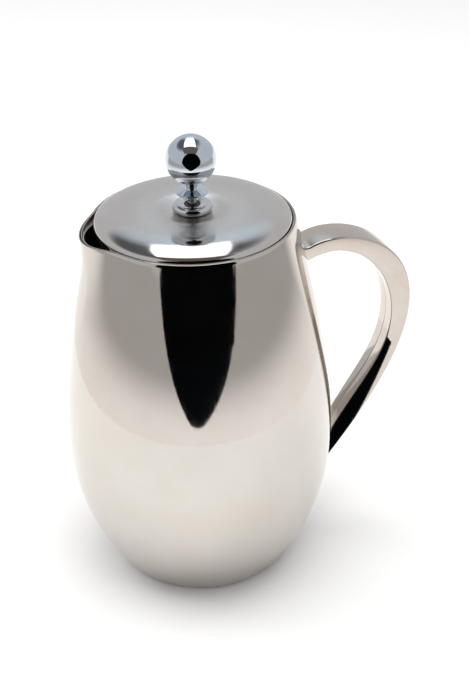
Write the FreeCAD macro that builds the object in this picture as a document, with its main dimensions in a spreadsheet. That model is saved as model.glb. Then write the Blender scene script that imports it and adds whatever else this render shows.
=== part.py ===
import FreeCAD, Part

import math
import os

import Sketcher

# A double-walled steel coffee press, knob down. Millimetres, +Z up, handle along +X, spout along -X.
# The origin is the centre of the face that the pot stands on.

DOC = FreeCAD.newDocument("coffee_press")
SHEET = DOC.addObject("Spreadsheet::Sheet", "Sizes")
UP = FreeCAD.Vector(0, 0, 1)

SIZES = {
    # pot body
    "pot_height": 192.5,
    "rim_radius": 49.7,
    "base_inset": 7.1,
    "lower_pull_out": 22.3,
    "lower_pull_height": 40.6,
    "upper_pull_out": 27.3,
    "upper_pull_height": 79.2,
    "shell_wall": 0.6,
    "vessel_wall": 0.6,
    "seam_gap": 0.03,
    "seat_width": 2.47,
    "floor_height": 12.0,
    "floor_corner": 8.0,
    "seat_depth": 3.0,
    # foot
    "foot_width": 6.6,
    "plate_wall": 0.8,
    "plate_margin": 1.6,
    "panel_gap": 0.3,
    # spout
    "spout_reach": 6.6,
    "spout_half_angle": 32.0,
    "spout_fall": 38.0,
    "spout_dip": 2.2,
    "channel_fall": 26.0,
    "channel_step": 0.3,
    # handle
    "handle_drop": 22.0,
    "handle_foot": 30.0,
    "handle_root_out": 7.3,
    "handle_reach": 55.5,
    "handle_top_width": 17.4,
    "handle_foot_width": 10.0,
    "handle_wall": 1.0,
    "handle_bury": 6.0,
    # lid
    "lid_gap": 0.47,
    "lid_rise": 5.9,
    "lid_crown_radius": 20.0,
    "lid_seat_rise": 4.3,
    "lid_seat_radius": 9.8,
    "lid_shoulder": 4.2,
    "lid_edge_drop": 0.8,
    "lid_wall": 0.8,
    "liner_gap": 0.4,
    "liner_wall": 0.6,
    "liner_depth": 22.0,
    "liner_drop": 0.3,
    "slot_width": 2.2,
    "slot_height": 12.0,
    "slot_lift": 2.5,
    "slot_pitch": 5.5,
    # rod guide
    "boss_radius": 9.65,
    "boss_foot_radius": 7.6,
    "boss_top_radius": 6.45,
    "boss_waist": 2.0,
    "boss_height": 4.2,
    "boss_lower_round": 2.05,
    "boss_upper_round": 2.5,
    "boss_dish": 0.6,
    "shank_radius": 6.0,
    "sleeve_wall": 2.0,
    "bush_radius": 4.0,
    "bush_flange_radius": 5.4,
    "bush_flange": 1.0,
    "bush_set_back": 0.4,
    "running_gap": 0.05,
    "washer_radius": 9.5,
    "washer_height": 1.0,
    "nut_flats": 16.0,
    "nut_height": 4.0,
    # plunger
    "rod_radius": 2.25,
    "rod_tip_radius": 2.0,
    "ball_radius": 12.2,
    "ball_seat_radius": 3.2,
    "ball_hole_depth": 9.5,
    "neck_radius": 3.0,
    "neck_height": 3.0,
    "collar_radius": 8.05,
    "collar_rise": 4.6,
    "collar_lip": 0.8,
    "collar_under": 0.7,
    "collar_slope": 1.3,
    # filter
    "floor_gap": 0.3,
    "coil_gap": 0.7,
    "coil_wire_radius": 2.1,
    "mesh_wall": 0.4,
    "mesh_margin": 1.8,
    "spring_plate_wall": 0.8,
    "spring_plate_margin": 5.4,
    "cross_plate_wall": 1.0,
    "cross_plate_margin": 4.5,
    "window_inner": 10.0,
    "window_inner_spread": 3.5,
    "window_margin": 12.0,
    "window_spread": 14.0,
    "window_flatness": 3.4,
    "spring_hole_margin": 22.0,
    "spring_hole_radius": 5.5,
    "hub_radius": 7.0,
    "hub_height": 6.0,
    "tip_nut_flats": 10.0,
    "tip_nut_height": 4.0,
    "tip_reveal": 0.5,
}

SLOT_COUNT = 9
SPRING_HOLES = 8
CROSS_WINDOWS = 4
SECTION_STEP = 5
CORNER_STEP = 15
SHELL_SECTIONS = 21
WELL_SECTIONS = 6
CHANNEL_SECTIONS = 8
COLLAR_SECTIONS = 4
HANDLE_POINTS = 13
HALVINGS = 50
SPOUT_POWER = 2.5
LID_DISH_PULL = 0.4
LID_SHOULDER_PULL = 0.57

# The handle's two edges in its own plane, as shares of its reach and of its height.
HANDLE_OUTER = ((0.0, 1.0), (0.483, 1.096), (1.93, 0.879), (0.638, 0.286), (0.054, 0.0))
HANDLE_INNER = ((0.0, 0.947), (0.766, 1.088), (1.308, 0.502), (0.521, 0.495), (0.171, 0.128))


class Size:
    """A length that carries its number and the sheet expression that gives it."""

    def __init__(self, value, text):
        self.value = value
        self.text = text

    def join(self, other, sign, flip=False):
        other = other if isinstance(other, Size) else Size(float(other), repr(float(other)))
        first, second = (other, self) if flip else (self, other)
        number = {
            "+": lambda: first.value + second.value,
            "-": lambda: first.value - second.value,
            "*": lambda: first.value * second.value,
            "/": lambda: first.value / second.value,
        }[sign]()
        return Size(number, "(" + first.text + " " + sign + " " + second.text + ")")

    def __add__(self, other):
        return self.join(other, "+")

    def __sub__(self, other):
        return self.join(other, "-")

    def __rsub__(self, other):
        return self.join(other, "-", True)

    def __mul__(self, other):
        return self.join(other, "*")

    def __truediv__(self, other):
        return self.join(other, "/")


def fill_sheet():
    for row, (name, value) in enumerate(SIZES.items(), start=1):
        SHEET.set("A%d" % row, name)
        SHEET.set("B%d" % row, str(value))
        SHEET.setAlias("B%d" % row, name)
    DOC.recompute()


fill_sheet()
SIZE = {name: Size(float(SHEET.get(name)), "Sizes." + name) for name in SIZES}
NUM = {name: size.value for name, size in SIZE.items()}

GROUND = Size(0.0, "0")
FULL_TURN = Size(360.0, "360")

# Levels and radii that several pieces share.
base_radius = SIZE["rim_radius"] - SIZE["base_inset"]
mouth_radius = SIZE["rim_radius"] - SIZE["shell_wall"] - SIZE["seam_gap"] - SIZE["vessel_wall"]
vessel_radius = mouth_radius - SIZE["seat_width"]
handle_root = SIZE["rim_radius"] + SIZE["handle_root_out"]
seat_level = SIZE["pot_height"] - SIZE["seat_depth"]
lid_radius = mouth_radius - SIZE["lid_gap"]
crown_level = SIZE["pot_height"] + SIZE["lid_seat_rise"]
boss_top = crown_level + SIZE["boss_height"]
liner_radius = vessel_radius - SIZE["liner_gap"]
liner_top = seat_level - SIZE["liner_drop"]
liner_under = liner_top - SIZE["liner_wall"]
liner_foot = SIZE["pot_height"] - SIZE["liner_depth"]
shank_bore = SIZE["shank_radius"] + SIZE["running_gap"]
washer_top = liner_under - SIZE["running_gap"]
washer_under = washer_top - SIZE["washer_height"]
shank_end = washer_under - SIZE["nut_height"]
bush_bore = SIZE["rod_radius"] + SIZE["running_gap"]
tip_bore = SIZE["rod_tip_radius"] + SIZE["running_gap"]
collar_level = boss_top + SIZE["collar_rise"]
collar_top = collar_level + SIZE["collar_under"] + SIZE["collar_lip"] + SIZE["collar_slope"]
neck_top = collar_top + SIZE["neck_height"]
tip_nut_level = SIZE["floor_height"] + SIZE["floor_gap"]
cross_level = tip_nut_level + SIZE["tip_nut_height"]
mesh_level = cross_level + SIZE["cross_plate_wall"]
spring_level = mesh_level + SIZE["mesh_wall"]
hub_level = spring_level + SIZE["spring_plate_wall"]
hub_top = hub_level + SIZE["hub_height"]
rod_end = tip_nut_level + SIZE["tip_reveal"]


def ball_centre():
    seat, radius = NUM["ball_seat_radius"], NUM["ball_radius"]
    return neck_top.value + math.sqrt(radius * radius - seat * seat)


# ---------------------------------------------------------------- drawing helpers

def origin_plane(body, role):
    return next(item for item in body.Origin.OriginFeatures if item.Role == role)


def new_sketch(body, name, role):
    sketch = body.newObject("Sketcher::SketchObject", name)
    sketch.AttachmentSupport = [(origin_plane(body, role), "")]
    sketch.MapMode = "FlatFace"
    return sketch


def bind(target, path, size):
    target.setExpression(path, size.text)


def pin_vertex(sketch, edge, end, across, along):
    """Holds one end of an edge at two sizes from the sketch's origin; none or nought is on the axis."""
    for kind, size, axis in (("DistanceX", across, -2), ("DistanceY", along, -1)):
        if size is None or size.value == 0:
            sketch.addConstraint(Sketcher.Constraint("PointOnObject", edge, end, axis))
        else:
            index = sketch.addConstraint(Sketcher.Constraint(kind, -1, 1, edge, end, size.value))
            bind(sketch, "Constraints[%d]" % index, size)


def arc_edge(start, finish, radius, side):
    """The short arc between two points; side 1 bulges to the right of the way it runs, -1 to the left."""
    chord = finish - start
    height = math.sqrt(radius * radius - chord.Length * chord.Length / 4)
    across = FreeCAD.Vector(-chord.y, chord.x, 0).normalize() * side
    centre = (start + finish) * 0.5 + across * height
    middle = centre - across * radius
    return Part.Arc(start, middle, finish)


def outline(sketch, corners):
    """Draws a closed outline: corners are (across, up) or (across, up, radius, side) for an arc to it.

    None as a corner's place across puts it on the axis.
    """
    count = len(corners)
    spots = [FreeCAD.Vector(c[0].value if c[0] else 0, c[1].value, 0) for c in corners]
    starts = []
    for index in range(count):
        corner = corners[index]
        before, here = spots[index - 1], spots[index]
        if len(corner) == 2:
            edge = sketch.addGeometry(Part.LineSegment(before, here), False)
            starts.append((edge, 1, 2))
            continue
        arc = arc_edge(before, here, corner[2].value, corner[3])
        edge = sketch.addGeometry(arc, False)
        forward = (sketch.getPoint(edge, 1) - before).Length < (sketch.getPoint(edge, 2) - before).Length
        starts.append((edge, 1, 2) if forward else (edge, 2, 1))
    for index in range(count):
        edge, _, finish = starts[index]
        follower, begin, _ = starts[(index + 1) % count]
        sketch.addConstraint(Sketcher.Constraint("Coincident", edge, finish, follower, begin))
        pin_vertex(sketch, edge, finish, corners[index][0], corners[index][1])
        if len(corners[index]) == 4:
            radius = corners[index][2]
            held = sketch.addConstraint(Sketcher.Constraint("Radius", edge, radius.value))
            bind(sketch, "Constraints[%d]" % held, radius)


def new_body(label):
    body = DOC.addObject("PartDesign::Body", label)
    body.Label = label
    return body


def turned(label, corners):
    """A piece turned about the pot's axis from an outline of radii and heights."""
    body = new_body(label)
    sketch = new_sketch(body, label + "_outline", "XZ_Plane")
    outline(sketch, corners)
    spin = body.newObject("PartDesign::Revolution", label + "_turned")
    spin.Profile = sketch
    spin.ReferenceAxis = (sketch, ["V_Axis"])
    spin.Angle = 360
    body.Tip = spin
    DOC.recompute()
    return body


def ring(label, bore, radius, low, high):
    """A plain ring between two radii and two levels."""
    return turned(label, [(bore, low), (radius, low), (radius, high), (bore, high)])


def cut(body, name, plane, lift, draw, depth):
    """Cuts a drawn opening from a plane of the body, against the plane's normal."""
    sketch = new_sketch(body, name, plane)
    if lift is not None:
        sketch.AttachmentOffset = FreeCAD.Placement(UP * lift.value, FreeCAD.Rotation())
        bind(sketch, "AttachmentOffset.Base.z", lift)
    draw(sketch)
    before = body.Shape.Volume
    pocket = body.newObject("PartDesign::Pocket", name + "_cut")
    pocket.Profile = sketch
    pocket.Length = depth.value
    bind(pocket, "Length", depth)
    body.Tip = pocket
    DOC.recompute()
    check_cut(before, body)
    return pocket


def repeat(body, pocket, name, count, span, backwards=False):
    """Repeats a cut about the pot's axis over a span of degrees."""
    before = body.Shape.Volume
    pattern = body.newObject("PartDesign::PolarPattern", name)
    pattern.Originals = [pocket]
    pattern.Axis = (origin_plane(body, "Z_Axis"), [""])
    pattern.Angle = span.value
    bind(pattern, "Angle", span)
    pattern.Occurrences = count
    pattern.Reversed = backwards
    body.Tip = pattern
    DOC.recompute()
    check_cut(before, body)


def check_cut(before, body):
    if body.Shape.Volume >= before - 1e-6:
        raise ValueError(body.Label + ": a cut took nothing away")


def hex_nut(label, flats, bore, low, height):
    """A six-sided nut, its thread drawn as a plain bore."""
    body = new_body(label)
    sketch = new_sketch(body, label + "_outline", "XY_Plane")
    sketch.AttachmentOffset = FreeCAD.Placement(FreeCAD.Vector(0, 0, low.value), FreeCAD.Rotation())
    bind(sketch, "AttachmentOffset.Base.z", low)
    reach = flats / math.sqrt(3)
    corners = []
    for turn in range(6):
        angle = math.radians(60 * turn + 30)
        corners.append((reach * round(math.cos(angle), 9), reach * round(math.sin(angle), 9)))
    corners = [(None if abs(x.value) < 1e-6 else x, y) for x, y in corners]
    outline(sketch, corners)
    circle = sketch.addGeometry(Part.Circle(FreeCAD.Vector(0, 0, 0), UP, bore.value), False)
    sketch.addConstraint(Sketcher.Constraint("Coincident", circle, 3, -1, 1))
    held = sketch.addConstraint(Sketcher.Constraint("Radius", circle, bore.value))
    bind(sketch, "Constraints[%d]" % held, bore)
    pad = body.newObject("PartDesign::Pad", label + "_pad")
    pad.Profile = sketch
    pad.Length = height.value
    bind(pad, "Length", height)
    body.Tip = pad
    DOC.recompute()
    return body


def plain_feature(label, shape):
    feature = DOC.addObject("Part::Feature", label)
    feature.Label = label
    feature.Shape = shape
    feature.Placement = FreeCAD.Placement()
    return feature


def bezier(points):
    curve = Part.BezierCurve()
    curve.setPoles([FreeCAD.Vector(*point) for point in points])
    return curve


# ---------------------------------------------------------------- pot body and spout

def spout_form(angle):
    """How far the spout stands out at an angle from its middle, from 0 to 1."""
    half = NUM["spout_half_angle"]
    if abs(angle) >= half:
        return 0.0
    return math.cos(math.radians(90 * angle / half)) ** 2


def spout_depth(level):
    """How far the spout's middle stands out of the round wall at a level."""
    share = 1 - (NUM["pot_height"] - level) / NUM["spout_fall"]
    return NUM["spout_reach"] * max(share, 0.0) ** SPOUT_POWER


def flared_wire(level, radius, depth):
    points = []
    for turn in range(0, 360, SECTION_STEP):
        reach = radius + depth * spout_form(turn - 180)
        angle = math.radians(turn)
        points.append(FreeCAD.Vector(reach * math.cos(angle), reach * math.sin(angle), level))
    curve = Part.BSplineCurve()
    curve.interpolate(Points=points, PeriodicFlag=True)
    return Part.Wire([curve.toShape()])


def flared_solid(sections):
    """A solid through sections of (level, radius, depth of the spout)."""
    return Part.makeLoft([flared_wire(*section) for section in sections], True, False)


def steps(low, high, count):
    return [low + (high - low) * index / (count - 1) for index in range(count)]


def body_curve():
    """The belly's side as one curve of radius and height."""
    return bezier((
        (base_radius.value, 0, 0),
        (NUM["rim_radius"] + NUM["lower_pull_out"], 0, NUM["lower_pull_height"]),
        (NUM["rim_radius"] + NUM["upper_pull_out"], 0, NUM["upper_pull_height"]),
        (NUM["rim_radius"], 0, NUM["pot_height"]),
    ))


def body_radius(level):
    """The belly's radius at a level, found by halving."""
    curve, low, high = body_curve(), 0.0, 1.0
    for _ in range(HALVINGS):
        middle = (low + high) / 2
        low, high = (middle, high) if curve.value(middle).z < level else (low, middle)
    return curve.value(low).x


def shell_solid(inset, floor):
    """The whole outside form of the pot, spout and all, drawn in by inset and standing on a floor level."""
    sections = []
    for level in steps(floor, NUM["pot_height"], SHELL_SECTIONS):
        sections.append((level, body_radius(level) - inset, spout_depth(level)))
    return flared_solid(sections)


def lip_cutter():
    """What is above the spout's lip, which dips on an arc towards its tip."""
    start = NUM["rim_radius"] * math.cos(math.radians(NUM["spout_half_angle"]))
    run = NUM["rim_radius"] + NUM["spout_reach"] - start
    dip = NUM["spout_dip"]
    radius = (run * run + dip * dip) / (2 * dip)
    margin = 10.0
    width = 4 * margin + 2 * run
    block = Part.makeBox(run + margin, 2 * width, dip + margin)
    block.translate(FreeCAD.Vector(-start - run - margin, -width, NUM["pot_height"] - dip - margin / 2))
    drum = Part.makeCylinder(
        radius, 2 * width, FreeCAD.Vector(-start, -width, NUM["pot_height"] - radius), FreeCAD.Vector(0, 1, 0)
    )
    return block.cut(drum)


def make_outer_shell():
    outside = shell_solid(0.0, 0.0)
    wall = NUM["shell_wall"]
    inside = shell_solid(wall, wall)
    hole = Part.makeCylinder(base_radius.value - NUM["foot_width"], wall)
    return plain_feature("outer_shell", outside.cut(inside).cut(hole).cut(lip_cutter()))


def vessel_solid(inset):
    """The drinking vessel's form, drawn in by inset: round well, spout channel, seat and mouth."""
    top, seat = NUM["pot_height"], seat_level.value
    wall = NUM["vessel_wall"]
    radius = vessel_radius.value + wall - inset
    mouth = mouth_radius.value + wall - inset
    floor = NUM["floor_height"] - wall + inset
    corner = NUM["floor_corner"] + wall - inset
    under_seat = seat - wall + inset
    split = top - NUM["channel_fall"]
    full = mouth - radius + spout_depth(seat) - NUM["channel_step"]
    well = []
    for turn in range(0, 91, CORNER_STEP):
        angle = math.radians(turn)
        well.append((floor + corner * (1 - math.cos(angle)), radius - corner * (1 - math.sin(angle)), 0.0))
    for level in steps(floor + corner, split, WELL_SECTIONS)[1:]:
        well.append((level, radius, 0.0))
    for level in steps(split, under_seat, CHANNEL_SECTIONS)[1:]:
        share = (level - split) / (seat - split)
        well.append((level, radius, full * share * share * (3 - 2 * share)))
    collar = [(level, mouth, spout_depth(level)) for level in steps(under_seat, top, COLLAR_SECTIONS)]
    return flared_solid(well).fuse(flared_solid(collar))


def make_inner_vessel():
    vessel = vessel_solid(0.0).cut(vessel_solid(NUM["vessel_wall"])).cut(lip_cutter())
    return plain_feature("inner_vessel", vessel)


def make_base_plate():
    """The pressed base: a rim on top of the shell's foot flange, a flat panel dropped through it."""
    flange = SIZE["shell_wall"]
    wall = SIZE["plate_wall"]
    edge = base_radius - SIZE["plate_margin"]
    panel = base_radius - SIZE["foot_width"] - SIZE["panel_gap"]
    return turned("base_plate", [
        (None, GROUND), (panel, GROUND), (panel, flange), (edge, flange),
        (edge, flange + wall), (panel - wall, flange + wall), (panel - wall, wall), (None, wall),
    ])


# ---------------------------------------------------------------- handle

def handle_edge(shares, inset):
    """One edge of the handle's side, from its top root to its foot, moved sideways by inset."""
    root, reach = handle_root.value, NUM["handle_reach"]
    foot = NUM["handle_foot"]
    rise = NUM["pot_height"] - NUM["handle_drop"] - foot
    curve = bezier([(root + reach * u, 0, foot + rise * v) for u, v in shares])
    points = []
    for share in steps(0.0, 1.0, HANDLE_POINTS):
        along = curve.tangent(share)[0]
        points.append(curve.value(share) + FreeCAD.Vector(-along.z, 0, along.x) * inset)
    edge = Part.BSplineCurve()
    edge.interpolate(Points=points)
    return edge


def buried(point):
    """The point as far inside the belly as the handle's ends start."""
    return FreeCAD.Vector(min(point.x, body_radius(point.z)) - NUM["handle_bury"], 0, point.z)


def handle_face(inset):
    """The handle's side, drawn in by inset all round except at its ends, which lie inside the belly."""
    outer, inner = handle_edge(HANDLE_OUTER, -inset), handle_edge(HANDLE_INNER, inset)
    foot_out, foot_in = outer.value(outer.LastParameter), inner.value(inner.LastParameter)
    top_in, top_out = inner.value(inner.FirstParameter), outer.value(outer.FirstParameter)
    route = [foot_out, buried(foot_out), buried(foot_in), foot_in]
    back = [top_in, buried(top_in), buried(top_out), top_out]
    lines = []
    for corners in (route, back):
        lines.append([Part.makeLine(start, finish) for start, finish in zip(corners, corners[1:])])
    inner.reverse()
    return Part.Face(Part.Wire([outer.toShape()] + lines[0] + [inner.toShape()] + lines[1]))


def handle_bar(inset):
    """The handle's solid form, drawn in by inset, narrowing towards its foot."""
    width = NUM["handle_top_width"]
    bar = handle_face(inset).extrude(FreeCAD.Vector(0, 2 * width, 0))
    bar.translate(FreeCAD.Vector(0, -width, 0))
    foot, top = NUM["handle_foot"], NUM["pot_height"] - NUM["handle_drop"]
    slope = (NUM["handle_top_width"] - NUM["handle_foot_width"]) / 2 / (top - foot)
    margin = 20.0
    levels = (foot - margin, top + margin)
    halves = [NUM["handle_foot_width"] / 2 + slope * (level - foot) - inset for level in levels]
    corners = [
        FreeCAD.Vector(0, -halves[0], levels[0]), FreeCAD.Vector(0, halves[0], levels[0]),
        FreeCAD.Vector(0, halves[1], levels[1]), FreeCAD.Vector(0, -halves[1], levels[1]),
    ]
    length = handle_root.value + 2 * NUM["handle_reach"]
    wedge = Part.Face(Part.makePolygon(corners + corners[:1])).extrude(FreeCAD.Vector(length, 0, 0))
    return bar.common(wedge)


def make_handle_shells():
    """The hollow handle's two pressed halves, trimmed to the belly and parted along its middle."""
    trim = shell_solid(-NUM["seam_gap"], 0.0)
    tube = handle_bar(0.0).cut(handle_bar(NUM["handle_wall"])).cut(trim)
    reach = 2 * (handle_root.value + NUM["handle_reach"])
    shells = []
    for label, side in (("handle_left_shell", 1), ("handle_right_shell", -1)):
        room = Part.makeBox(reach, reach, reach)
        room.translate(FreeCAD.Vector(0, 0 if side > 0 else -reach, 0))
        shells.append(plain_feature(label, tube.common(room).Solids[0]))
    return shells


# ---------------------------------------------------------------- lid

def lid_side(inset):
    """The lid's section from the shank's hole over the crown to its skirt, drawn in by inset."""
    top = NUM["pot_height"] - inset
    seat, crown = top + NUM["lid_seat_rise"], top + NUM["lid_rise"]
    pad, bend = NUM["lid_seat_radius"], NUM["lid_crown_radius"]
    edge, low = lid_radius.value - inset, NUM["pot_height"] - NUM["lid_edge_drop"]
    pull = (bend - pad) * LID_DISH_PULL
    reach = (edge - bend) * LID_SHOULDER_PULL
    flat = Part.makeLine(FreeCAD.Vector(shank_bore.value, 0, seat), FreeCAD.Vector(pad, 0, seat))
    dish = bezier(((pad, 0, seat), (pad + pull, 0, seat), (bend - pull, 0, crown), (bend, 0, crown)))
    shoulder = bezier((
        (bend, 0, crown), (bend + reach, 0, crown), (edge, 0, top + NUM["lid_shoulder"]), (edge, 0, low),
    ))
    skirt = Part.makeLine(FreeCAD.Vector(edge, 0, low), FreeCAD.Vector(edge, 0, seat_level.value))
    return [flat, dish.toShape(), shoulder.toShape(), skirt]


def make_lid_cover():
    """The pressed lid: a seat for the boss, a low crown round it, a rounded shoulder and a short skirt."""
    wall, bore = NUM["lid_wall"], shank_bore.value
    rim, foot = lid_radius.value, seat_level.value
    top = crown_level.value
    hole_edge = Part.makeLine(FreeCAD.Vector(bore, 0, top - wall), FreeCAD.Vector(bore, 0, top))
    foot_edge = Part.makeLine(FreeCAD.Vector(rim - wall, 0, foot), FreeCAD.Vector(rim, 0, foot))
    edges = lid_side(0.0) + lid_side(wall) + [hole_edge, foot_edge]
    face = Part.Face(Part.Wire(Part.__sortEdges__(edges)))
    return plain_feature("lid_cover", face.revolve(FreeCAD.Vector(0, 0, 0), UP, 360))


def make_lid_liner():
    """The strainer liner: a flat top on the shank, a skirt in the vessel and slots to the spout."""
    inner = liner_radius - SIZE["liner_wall"]
    body = turned("lid_liner", [
        (shank_bore, liner_under), (inner, liner_under), (inner, liner_foot),
        (liner_radius, liner_foot), (liner_radius, liner_top), (shank_bore, liner_top),
    ])
    low = liner_foot + SIZE["slot_lift"]
    high = low + SIZE["slot_height"]
    side = SIZE["slot_width"] / 2

    def draw(sketch):
        outline(sketch, [(side * -1, low), (side, low), (side, high), (side * -1, high)])

    slot = cut(body, "slot", "YZ_Plane", None, draw, vessel_radius)
    half = (SLOT_COUNT - 1) // 2
    repeat(body, slot, "slots_one_way", half + 1, SIZE["slot_pitch"] * half)
    repeat(body, slot, "slots_other_way", half + 1, SIZE["slot_pitch"] * half, True)


def make_rod_guide():
    """The polished boss on the crown, its bush, and the sleeve, washer and nut that hold the lid together."""
    bore = SIZE["bush_radius"] + SIZE["running_gap"]
    shank = SIZE["shank_radius"]
    turned("guide_boss", [
        (bore, shank_end), (shank, shank_end), (shank, crown_level), (SIZE["boss_foot_radius"], crown_level),
        (SIZE["boss_radius"], crown_level + SIZE["boss_waist"], SIZE["boss_lower_round"], 1),
        (SIZE["boss_top_radius"], boss_top, SIZE["boss_upper_round"], 1),
        (bore, boss_top - SIZE["boss_dish"]),
    ])
    flange, low = SIZE["bush_flange_radius"], shank_end - SIZE["bush_flange"]
    high = boss_top - SIZE["boss_dish"] - SIZE["bush_set_back"]
    turned("guide_bush", [
        (bush_bore, low), (flange, low), (flange, shank_end), (SIZE["bush_radius"], shank_end),
        (SIZE["bush_radius"], high), (bush_bore, high),
    ])
    ring("lid_sleeve", shank_bore, shank + SIZE["sleeve_wall"],
         liner_top + SIZE["running_gap"], crown_level - SIZE["lid_wall"] - SIZE["running_gap"])
    ring("boss_washer", shank_bore, SIZE["washer_radius"], washer_under, washer_top)
    hex_nut("boss_nut", SIZE["nut_flats"], shank_bore, shank_end, SIZE["nut_height"])


# ---------------------------------------------------------------- plunger

def make_knob():
    """The ball on its collar, both screwed to the rod's upper tip."""
    neck, edge = SIZE["neck_radius"], SIZE["collar_radius"]
    under = collar_level + SIZE["collar_under"]
    lip = under + SIZE["collar_lip"]
    turned("knob_collar", [
        (tip_bore, collar_level), (neck, collar_level), (edge, under), (edge, lip),
        (neck, collar_top), (neck, neck_top), (tip_bore, neck_top),
    ])
    centre = ball_centre()
    ball = Part.makeSphere(NUM["ball_radius"], FreeCAD.Vector(0, 0, centre))
    room = 4 * NUM["ball_radius"]
    below = Part.makeBox(room, room, room, FreeCAD.Vector(-room / 2, -room / 2, neck_top.value - room))
    hole = Part.makeCylinder(tip_bore.value, NUM["ball_hole_depth"], FreeCAD.Vector(0, 0, neck_top.value))
    plain_feature("knob_ball", ball.cut(below).cut(hole))


def make_rod():
    """The rod, stepped down at both ends where its threads are."""
    tip, radius = SIZE["rod_tip_radius"], SIZE["rod_radius"]
    turned("plunger_rod", [
        (None, rod_end), (tip, rod_end), (tip, hub_top), (radius, hub_top),
        (radius, collar_level), (tip, collar_level),
        (tip, neck_top + SIZE["ball_hole_depth"] - SIZE["tip_reveal"]),
        (None, neck_top + SIZE["ball_hole_depth"] - SIZE["tip_reveal"]),
    ])


def make_filter():
    """From below: nut, windowed plate, mesh, sprung plate with its edge coil, and the threaded hub."""
    hex_nut("filter_nut", SIZE["tip_nut_flats"], tip_bore, tip_nut_level, SIZE["tip_nut_height"])
    ring("filter_mesh", tip_bore, vessel_radius - SIZE["mesh_margin"], mesh_level, spring_level)
    ring("filter_hub", tip_bore, SIZE["hub_radius"], hub_level, hub_top)

    cross = ring("cross_plate", tip_bore, vessel_radius - SIZE["cross_plate_margin"], cross_level, mesh_level)
    near, far = SIZE["window_inner"], vessel_radius - SIZE["window_margin"]
    root, spread = SIZE["window_inner_spread"], SIZE["window_spread"]
    curve = far + SIZE["window_flatness"]

    def draw_window(sketch):
        outline(sketch, [(near, root * -1), (far, spread * -1), (far, spread, curve, 1), (near, root)])

    window = cut(cross, "window", "XY_Plane", mesh_level, draw_window, SIZE["cross_plate_wall"])
    repeat(cross, window, "windows", CROSS_WINDOWS, FULL_TURN)

    edge = vessel_radius - SIZE["spring_plate_margin"]
    spring = ring("spring_plate", tip_bore, edge, spring_level, hub_level)
    place = vessel_radius - SIZE["spring_hole_margin"]

    def draw_hole(sketch):
        circle = Part.Circle(FreeCAD.Vector(place.value, 0, 0), UP, NUM["spring_hole_radius"])
        index = sketch.addGeometry(circle, False)
        held = sketch.addConstraint(Sketcher.Constraint("Radius", index, NUM["spring_hole_radius"]))
        bind(sketch, "Constraints[%d]" % held, SIZE["spring_hole_radius"])
        pin_vertex(sketch, index, 3, place, None)

    hole = cut(spring, "drain_hole", "XY_Plane", hub_level, draw_hole, SIZE["spring_plate_wall"])
    repeat(spring, hole, "drain_holes", SPRING_HOLES, FULL_TURN)

    wire = SIZE["coil_wire_radius"]
    coil = DOC.addObject("Part::Torus", "edge_coil")
    coil.Label = "edge_coil"
    bind(coil, "Radius1", vessel_radius - SIZE["coil_gap"] - wire)
    bind(coil, "Radius2", wire)
    bind(coil, "Placement.Base.z", spring_level + SIZE["seam_gap"] + wire)
    DOC.recompute()


# ---------------------------------------------------------------- building and writing

def pieces():
    kinds = ("PartDesign::Body", "Part::Feature", "Part::Torus")
    return [item for item in DOC.Objects if item.TypeId in kinds]


def check_pieces():
    for item in DOC.Objects:
        if "Invalid" in item.State or "Error" in item.State:
            raise ValueError(item.Label + ": " + ", ".join(item.State))
    for piece in pieces():
        shape = piece.Shape
        if shape.isNull() or not shape.isValid() or not shape.Solids:
            raise ValueError(piece.Label + ": its shape is not a valid solid")


def write_pieces():
    os.makedirs("parts", exist_ok=True)
    for piece in pieces():
        piece.Shape.exportStep(os.path.join("parts", piece.Label + ".step"))
        print("%-20s %2d solid %10.2f mm3" % (piece.Label, len(piece.Shape.Solids), piece.Shape.Volume))


make_outer_shell()
make_inner_vessel()
make_base_plate()
make_handle_shells()
make_lid_cover()
make_lid_liner()
make_rod_guide()
make_knob()
make_rod()
make_filter()
DOC.recompute()
check_pieces()
write_pieces()
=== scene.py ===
import logging
import math
from dataclasses import dataclass, field
from enum import Enum
from typing import Callable, Optional, Sequence, Union

import bmesh
import bpy
from mathutils import Matrix, Vector


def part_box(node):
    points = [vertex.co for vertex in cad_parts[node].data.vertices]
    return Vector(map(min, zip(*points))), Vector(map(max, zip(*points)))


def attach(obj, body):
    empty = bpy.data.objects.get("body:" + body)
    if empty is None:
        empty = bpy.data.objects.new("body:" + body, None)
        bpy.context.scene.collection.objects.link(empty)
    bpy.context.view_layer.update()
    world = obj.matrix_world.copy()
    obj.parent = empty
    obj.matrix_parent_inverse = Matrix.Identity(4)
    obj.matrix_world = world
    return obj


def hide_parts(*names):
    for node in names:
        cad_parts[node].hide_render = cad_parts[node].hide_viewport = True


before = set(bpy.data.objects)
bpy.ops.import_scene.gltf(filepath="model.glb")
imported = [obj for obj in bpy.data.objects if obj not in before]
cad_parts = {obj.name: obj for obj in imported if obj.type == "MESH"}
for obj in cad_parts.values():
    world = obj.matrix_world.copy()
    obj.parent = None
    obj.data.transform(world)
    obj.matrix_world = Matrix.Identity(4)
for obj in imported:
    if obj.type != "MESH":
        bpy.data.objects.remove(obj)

# The looks of a double-walled steel coffee press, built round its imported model.
# Sizes are in millimetres and become metres as a mesh is made; the handle lies along +X, the spout along -X.

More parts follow.
